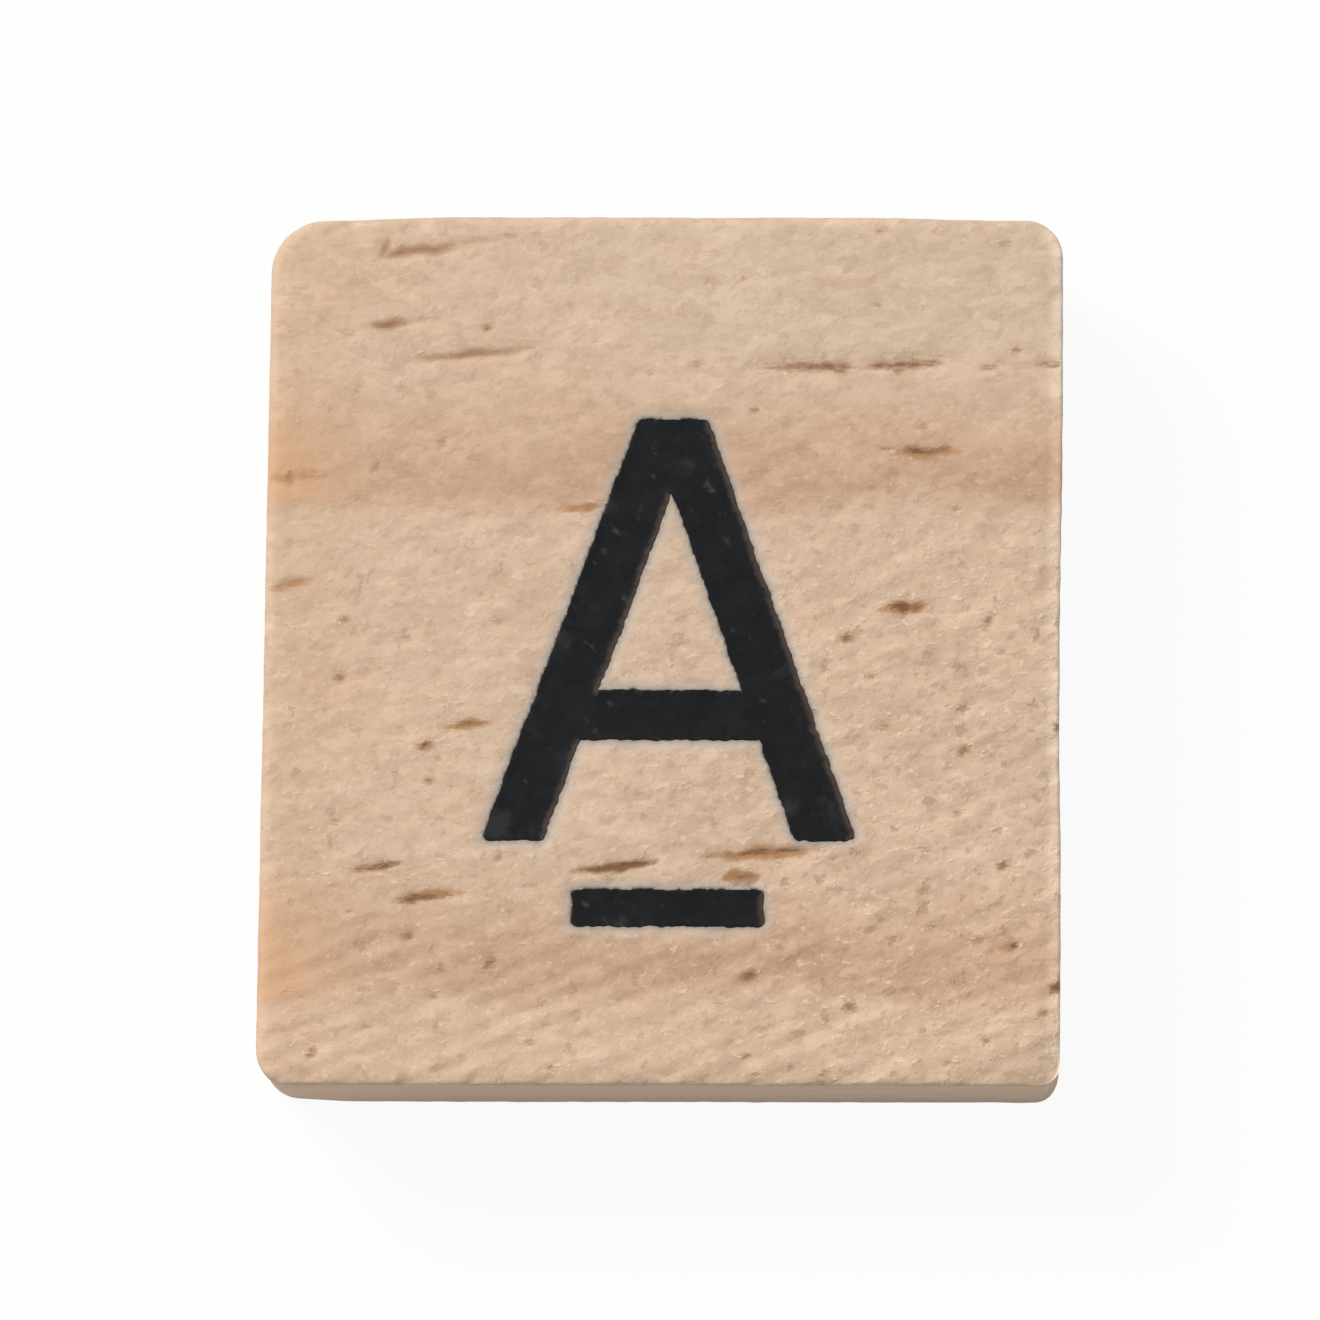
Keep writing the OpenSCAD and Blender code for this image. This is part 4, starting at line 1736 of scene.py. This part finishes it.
@dataclass
class WoodBlock:
    """The block: a fine grid for its face, drawn down over a sanded edge, and stamped."""

    stamps: tuple[Stamp, ...]
    plan: RoundedPlan = RoundedPlan()
    face: SandedFace = SandedFace()
    edges: WornEdges = WornEdges()
    sides: SawnSides = SawnSides()
    cell: float = 0.075 * MM
    arris: float = 0.25 * MM
    arris_steps: int = 5
    crisp_right: float = 1.0
    crisp_foot: float = 0.7
    side_steps: int = 14
    underside_border: float = 0.4 * MM
    crease_angle: float = 48.0
    groove_depth: float = 0.045
    press_depth: float = 0.03
    press_width: float = 0.17
    blush_across: Span = Span(-6.3, -8.9)
    blush_on_side: float = 0.4
    torn_on_side: float = 0.3
    # Where the right edge gets its painted highlight: turned to the right, near the rim and high on the side
    rubbed_and_lit_turn: Span = Span(0.3, 0.9)
    rubbed_and_lit_inside: Span = Span(0.45, 0.0)
    rubbed_and_lit_below: Span = Span(0.7, 0.2)
    end_turn: Span = Span(0.5, 0.95)
    end_inside: Span = Span(0.25, 0.0)
    face_room: Box = ((0.01, 0.01), (0.8, 0.869))
    foot_room: Box = ((0.005, 0.885), (0.405, 0.994))
    head_room: Box = ((0.41, 0.885), (0.81, 0.994))
    left_room: Box = ((0.81, 0.005), (0.9, 0.375))
    right_room: Box = ((0.905, 0.005), (0.995, 0.375))
    back_room: Box = ((0.81, 0.4), (0.996, 0.602))
    stamp_foot_room: Box = ((0.81, 0.62), (0.99, 0.66))
    stamp_end_room: Box = ((0.81, 0.67), (0.99, 0.71))

    def build(self) -> bpy.types.Object:
        """Models the block.

        Returns:
            The finished mesh object.
        """
        block = self._face_grid()
        self._draw_sides(block)
        for stamp in self.stamps:
            cut(block, stamp.die(), Keep.OUTSIDE)
        split_many_sided(block)
        self._weather(block.data)
        self._map(block.data)
        smooth(block, self.crease_angle)
        return block

    def _face_grid(self) -> bpy.types.Object:
        """Bends a grid to the plan inside the sanded edge.

        Returns:
            The flat of the face.
        """
        across = round(2 * (self.plan.half_w - self.arris) / self.cell)
        along = round(2 * (self.plan.half_l - self.arris) / self.cell)
        block = add_grid("softwood_block", across, along)
        points = places(block.data)
        points[:, :2] = self.plan.fill(points[:, :2], self.arris)
        points[:, 2] = BLOCK_HIGH.z
        move_to(block.data, points)
        return block

    def _draw_sides(self, block: bpy.types.Object) -> None:
        """Draws the face's rim down in rings and shapes them, crisper at the right and the foot.

        Args:
            block: the flat of the face, which becomes a solid.
        """
        rings = self._ring_profile()
        step = BLOCK_HIGH.z / len(rings)
        draw_down(block, [step] * len(rings), self.underside_border)
        points = places(block.data)
        level = np.rint((BLOCK_HIGH.z - points[:, 2]) / step).astype(int)
        out, drop = (np.array([0.0, *column])[level] for column in zip(*rings))
        away = self.plan.outward(points, self.arris)
        upper = (level > 0) & (level < self.arris_steps)
        crisp = 1.0 + self.crisp_right * np.maximum(away[:, 0], 0.0)
        crisp += self.crisp_foot * np.maximum(-away[:, 1], 0.0)
        out_share = np.where(upper, (out / self.arris) ** (1.0 / crisp), out / self.arris)
        keep_share = np.clip(1.0 - drop / self.arris, 0.0, 1.0) ** (1.0 / crisp)
        points[:, :2] += away * (self.arris * out_share)[:, None]
        points[:, 2] = BLOCK_HIGH.z - np.where(upper, self.arris * (1.0 - keep_share), drop)
        move_to(block.data, points)

    def _ring_profile(self) -> list[Pair]:
        """Works out the rings from the face's rim to the underside's.

        Returns:
            How far out of the face's rim, and how far below the face, each ring lies.
        """
        quarter = [math.pi / 2 * step / self.arris_steps for step in range(1, self.arris_steps + 1)]
        base = BLOCK_HIGH.z - self.arris
        side = base - self.arris
        upper = [(self.arris * math.sin(turn), self.arris * (1 - math.cos(turn))) for turn in quarter]
        steps = range(1, self.side_steps + 1)
        straight = [(self.arris, self.arris + side * step / self.side_steps) for step in steps]
        lower = [(self.arris * math.cos(turn), base + self.arris * math.sin(turn)) for turn in quarter]
        return upper + straight + lower

    def _weather(self, mesh: bpy.types.Mesh) -> None:
        """Saws, sands and wears the surface, and keeps for the material where each mark is, and where the
        right edge gets its painted highlight.

        Args:
            mesh: the block's mesh, which is changed.
        """
        points = places(mesh)
        below = BLOCK_HIGH.z - points[:, 2]
        inside = self.plan.depth(points)
        on_face = Span(self.arris, 0.0).at(below)
        off_stamp = np.min([stamp.to_rim(points)[0] for stamp in self.stamps], axis=0) / MM
        sunk = (below > (BLOCK_HIGH.z - self.stamps[0].low.z) / 2) & (inside > 2 * self.arris)
        sunk &= points[:, 2] > BLOCK_HIGH.z / 2
        rightward = self.plan.outward(points)[:, 0]
        # The right edge's painted highlight, which also reads as a pale rubbed edge
        rubbed_and_lit = self.rubbed_and_lit_turn.at(rightward) * self.rubbed_and_lit_inside.at(inside / MM) * self.rubbed_and_lit_below.at(below / MM)
        end = self.end_turn.at(np.abs(rightward)) * self.end_inside.at(inside / MM) * (1.0 - on_face)
        worn = self.edges.drop(points, self.plan)
        self.sides.shift(points, below, self.plan)
        lean_over(points)
        flat = points[:, :2] / MM
        marks = Marks(as_read(flat))
        pressed = np.exp(-((off_stamp / self.press_width) ** 2))
        height = self.face.height(flat) - worn
        height -= self.groove_depth * marks.groove + self.press_depth * pressed
        points[:, 2] += height * MM * on_face * ~sunk
        move_to(mesh, points)
        blush_share = self.blush_on_side + (1.0 - self.blush_on_side) * on_face
        torn_share = self.torn_on_side + (1.0 - self.torn_on_side) * on_face
        kept = {
            "resin": marks.brown * on_face,
            "amber": marks.amber * on_face,
            "ragged": marks.ragged,
            "rubbed_and_lit": rubbed_and_lit,
            "end": end,
            "pressed": pressed * on_face * ~sunk,
            "recess": sunk.astype(float),
            "blush": self.blush_across.at(flat[:, 0]) * blush_share,
            "torn": self.face.torn(flat) * torn_share,
            "side": (1.0 - on_face) * ~sunk,
        }
        for name, values in kept.items():
            store(mesh, name, values)

    def _map(self, mesh: bpy.types.Mesh) -> None:
        """Lays the block out for baking, with most of the room for its face.

        Args:
            mesh: the block's mesh.
        """
        faces = Facing(mesh)
        inner = faces.wall & (self.plan.depth(rows(mesh.polygons, "center")) > 2 * self.arris)
        outer = faces.wall & ~inner
        ends, flanks = outer & faces.lengthwise, outer & ~faces.lengthwise
        faces.lay_out((
            Patch(faces.up, View.FROM_ABOVE, self.face_room),
            Patch(flanks & faces.foot, View.FROM_FOOT, self.foot_room),
            Patch(flanks & ~faces.foot, View.FROM_FOOT, self.head_room),
            Patch(ends & faces.left, View.FROM_END_UPRIGHT, self.left_room),
            Patch(ends & ~faces.left, View.FROM_END_UPRIGHT, self.right_room),
            Patch(faces.down, View.FROM_ABOVE, self.back_room),
            Patch(inner & ~faces.lengthwise, View.FROM_FOOT, self.stamp_foot_room),
            Patch(inner & faces.lengthwise, View.FROM_END, self.stamp_end_room),
        ))

    def dress(self, block: bpy.types.Object, effects: Effects) -> None:
        """Gives the block its finish and its place in the frame.

        Args:
            block: the finished mesh object.
            effects: the shared node groups.
        """
        paint(block, Softwood().material(effects))
        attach(block, BODY)
        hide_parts("wood_block")


@dataclass
class InkFilm:
    """The film of ink in one stamp: sunk in the middle and drawn up at its edge."""

    stamp: Stamp
    name: str
    cell: float = 0.05 * MM
    margin_cells: int = 4
    under: float = 0.02 * MM
    rim_drop: float = 0.085 * MM
    climb_width: float = 0.26 * MM
    rough: tuple[Ripple, ...] = (Ripple(0.006, (0.5, 0.25), 5.2), Ripple(0.004, (0.18, 0.12), 8.1))
    # Painted light: the brown edge is kept where the way out of the stamp points right, towards the lamp
    painted_light_rightward: Span = Span(-0.2, 0.7)
    crease_angle: float = 60.0
    top_room: Box = ((0.01, 0.01), (0.88, 0.99))
    back_room: Box = ((0.89, 0.01), (0.99, 0.12))
    foot_room: Box = ((0.89, 0.2), (0.99, 0.3))
    end_room: Box = ((0.89, 0.35), (0.99, 0.45))

    def build(self) -> bpy.types.Object:
        """Models the film from a fine grid that is trimmed by the die.

        Returns:
            The finished mesh object.
        """
        film = self._slab()
        cut(film, self.stamp.die(), Keep.INSIDE)
        split_many_sided(film)
        self._settle(film.data)
        self._map(film.data)
        smooth(film, self.crease_angle)
        return film

    def _slab(self) -> bpy.types.Object:
        """Makes a slab over the whole stamp, with a fine grid on top.

        Returns:
            The slab.
        """
        span = self.stamp.high - self.stamp.low
        middle = (self.stamp.high + self.stamp.low) / 2
        margin = 2 * self.margin_cells * self.cell
        width, length = span.x + margin, span.y + margin
        film = add_grid(self.name, round(width / self.cell), round(length / self.cell))
        points = places(film.data)
        points *= (width / 2, length / 2, 0.0)
        points += (middle.x, middle.y, self.stamp.high.z)
        move_to(film.data, points)
        draw_down(film, [span.z + self.under])
        return film

    def _settle(self, mesh: bpy.types.Mesh) -> None:
        """Draws the film up at its edge, roughens it and keeps where it is thin, on the right-hand edges
        alone, where the brown stands for painted light.

        Args:
            mesh: the film's mesh, which is changed.
        """
        points = places(mesh)
        ink_z = self.stamp.high.z
        upper = points[:, 2] > (ink_z + self.stamp.low.z) / 2
        off, to_right = self.stamp.to_rim(points)
        climb = 1.0 - Span(0.0, self.climb_width).at(off)
        rise = BLOCK_HIGH.z - self.rim_drop - ink_z
        rough = sum(ripple.at(points / MM) for ripple in self.rough)
        points[:, 2] += upper * (climb * rise + (1.0 - climb) * rough * MM)
        lean_over(points)
        move_to(mesh, points)
        store(mesh, "thin_and_lit", climb * upper * self.painted_light_rightward.at(to_right))

    def _map(self, mesh: bpy.types.Mesh) -> None:
        """Lays the film out for baking, with most of the room for its upper face.

        Args:
            mesh: the film's mesh.
        """
        faces = Facing(mesh)
        faces.lay_out((
            Patch(faces.up, View.FROM_ABOVE, self.top_room),
            Patch(faces.down, View.FROM_ABOVE, self.back_room),
            Patch(faces.wall & ~faces.lengthwise, View.FROM_FOOT, self.foot_room),
            Patch(faces.wall & faces.lengthwise, View.FROM_END, self.end_room),
        ))

    def dress(self, film: bpy.types.Object, finish: bpy.types.Material) -> None:
        """Gives the film its finish and its place in the frame.

        Args:
            film: the finished mesh object.
            finish: the ink.
        """
        paint(film, finish)
        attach(film, BODY)
        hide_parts(self.stamp.node)


@dataclass(frozen=True)
class Lamp:
    """A square soft lamp that faces a point, in metres and watts."""

    name: str
    place: Triple
    size: float
    power: float
    colour: Colour

    def hang(self, target: Vector) -> None:
        """Adds the lamp.

        Args:
            target: the point that it faces.
        """
        data = bpy.data.lights.new(self.name, "AREA")
        data.shape = "SQUARE"
        data.size = self.size
        data.energy = self.power
        data.color = self.colour
        aim(link(self.name, data), self.place, target)


@dataclass
class Studio:
    """The pale floor, the soft light and the camera, at the photograph's angle."""

    key: Lamp = Lamp("key", (-0.6, 0.52, 0.84), 0.44, 12.4, (1.0, 0.985, 0.96))
    floor_half: float = 0.9
    floor_drop: float = 0.002 * MM
    floor_grey: float = 0.84
    floor_roughness: float = 0.9
    floor_white: float = 0.93
    sky: float = 0.33
    sky_colour: Colour = (0.97, 0.985, 1.0)
    camera_front: float = 25.85 * MM
    camera_above: float = 168.0 * MM
    camera_aim: Pair = (-0.05 * MM, -0.32 * MM)
    lens: float = 204.2
    sensor: float = 36.0
    nearest: float = 0.01

    def build(self) -> None:
        """Sets up the floor, the world, the lamp and the camera."""
        bpy.context.scene.view_settings.view_transform = "Standard"
        self._floor()
        self._world()
        self.key.hang(Vector((0.0, 0.0, BLOCK_HIGH.z)))
        self._camera()

    def _floor(self) -> None:
        """A wide pale floor, white to the camera but for the tile's soft shadow."""
        bpy.ops.object.select_all(action="DESELECT")
        bpy.ops.mesh.primitive_plane_add(size=2 * self.floor_half, location=(0.0, 0.0, -self.floor_drop))
        floor = bpy.context.object
        floor.name = "floor"
        coat = Coat("pale_floor")
        grey = (self.floor_grey, self.floor_grey, self.floor_grey, 1.0)
        plain = {"Base Color": grey, "Roughness": self.floor_roughness, "Specular IOR Level": 0.0}
        for name, value in plain.items():
            coat.shader.inputs[name].default_value = value
        glow = coat.node("ShaderNodeEmission", {"Color": (1.0, 1.0, 1.0, 1.0), "Strength": 1.0})
        inputs = {0: coat.times(coat.seen(), self.floor_white), 1: coat.shader.outputs[0], 2: glow.outputs[0]}
        mixed = coat.node("ShaderNodeMixShader", inputs)
        coat.feed(coat.output.inputs["Surface"], mixed.outputs[0])
        floor.data.materials.append(coat.material)

    def _world(self) -> None:
        """Even light from all round, which the camera sees as white."""
        world = bpy.data.worlds.new("studio")
        bpy.context.scene.world = world
        world.use_nodes = True
        sheet = Sheet(world.node_tree)
        strength = sheet.span(sheet.seen(), Span(0.0, 1.0, self.sky, 1.0))
        light = sheet.node("ShaderNodeBackground", {"Color": (*self.sky_colour, 1.0), "Strength": strength})
        sheet.node("ShaderNodeOutputWorld", {"Surface": light.outputs[0]})

    def _camera(self) -> None:
        """The camera, above the foot of the tile and looking down at its face."""
        data = bpy.data.cameras.new("camera")
        data.lens = self.lens
        data.sensor_width = self.sensor
        data.clip_start = self.nearest
        camera = link("camera", data)
        place = (0.0, -self.camera_front, BLOCK_HIGH.z + self.camera_above)
        aim(camera, place, Vector((*self.camera_aim, BLOCK_HIGH.z)))
        bpy.context.scene.camera = camera


def report(piece: bpy.types.Object) -> None:
    """Logs what a finished piece is made of."""
    mesh = piece.data
    LOG.info("%s: %d vertices, %d faces", piece.name, len(mesh.vertices), len(mesh.polygons))


def main() -> None:
    """Builds the tile's pieces in order, dresses them and sets up the studio."""
    logging.basicConfig(level=logging.INFO, format="%(name)s: %(message)s")
    effects = Effects()
    letter = Stamp("letter_ink")
    bar = Stamp("bar_ink")
    block_maker = WoodBlock((letter, bar))
    block = block_maker.build()
    block_maker.dress(block, effects)
    report(block)
    ink = StampInk().material(effects)
    for stamp, name in ((letter, "inked_letter"), (bar, "inked_bar")):
        film_maker = InkFilm(stamp, name)
        film = film_maker.build()
        film_maker.dress(film, ink)
        report(film)
        stamp.clear_away()
    Studio().build()


if __name__ == "__main__":
    main()
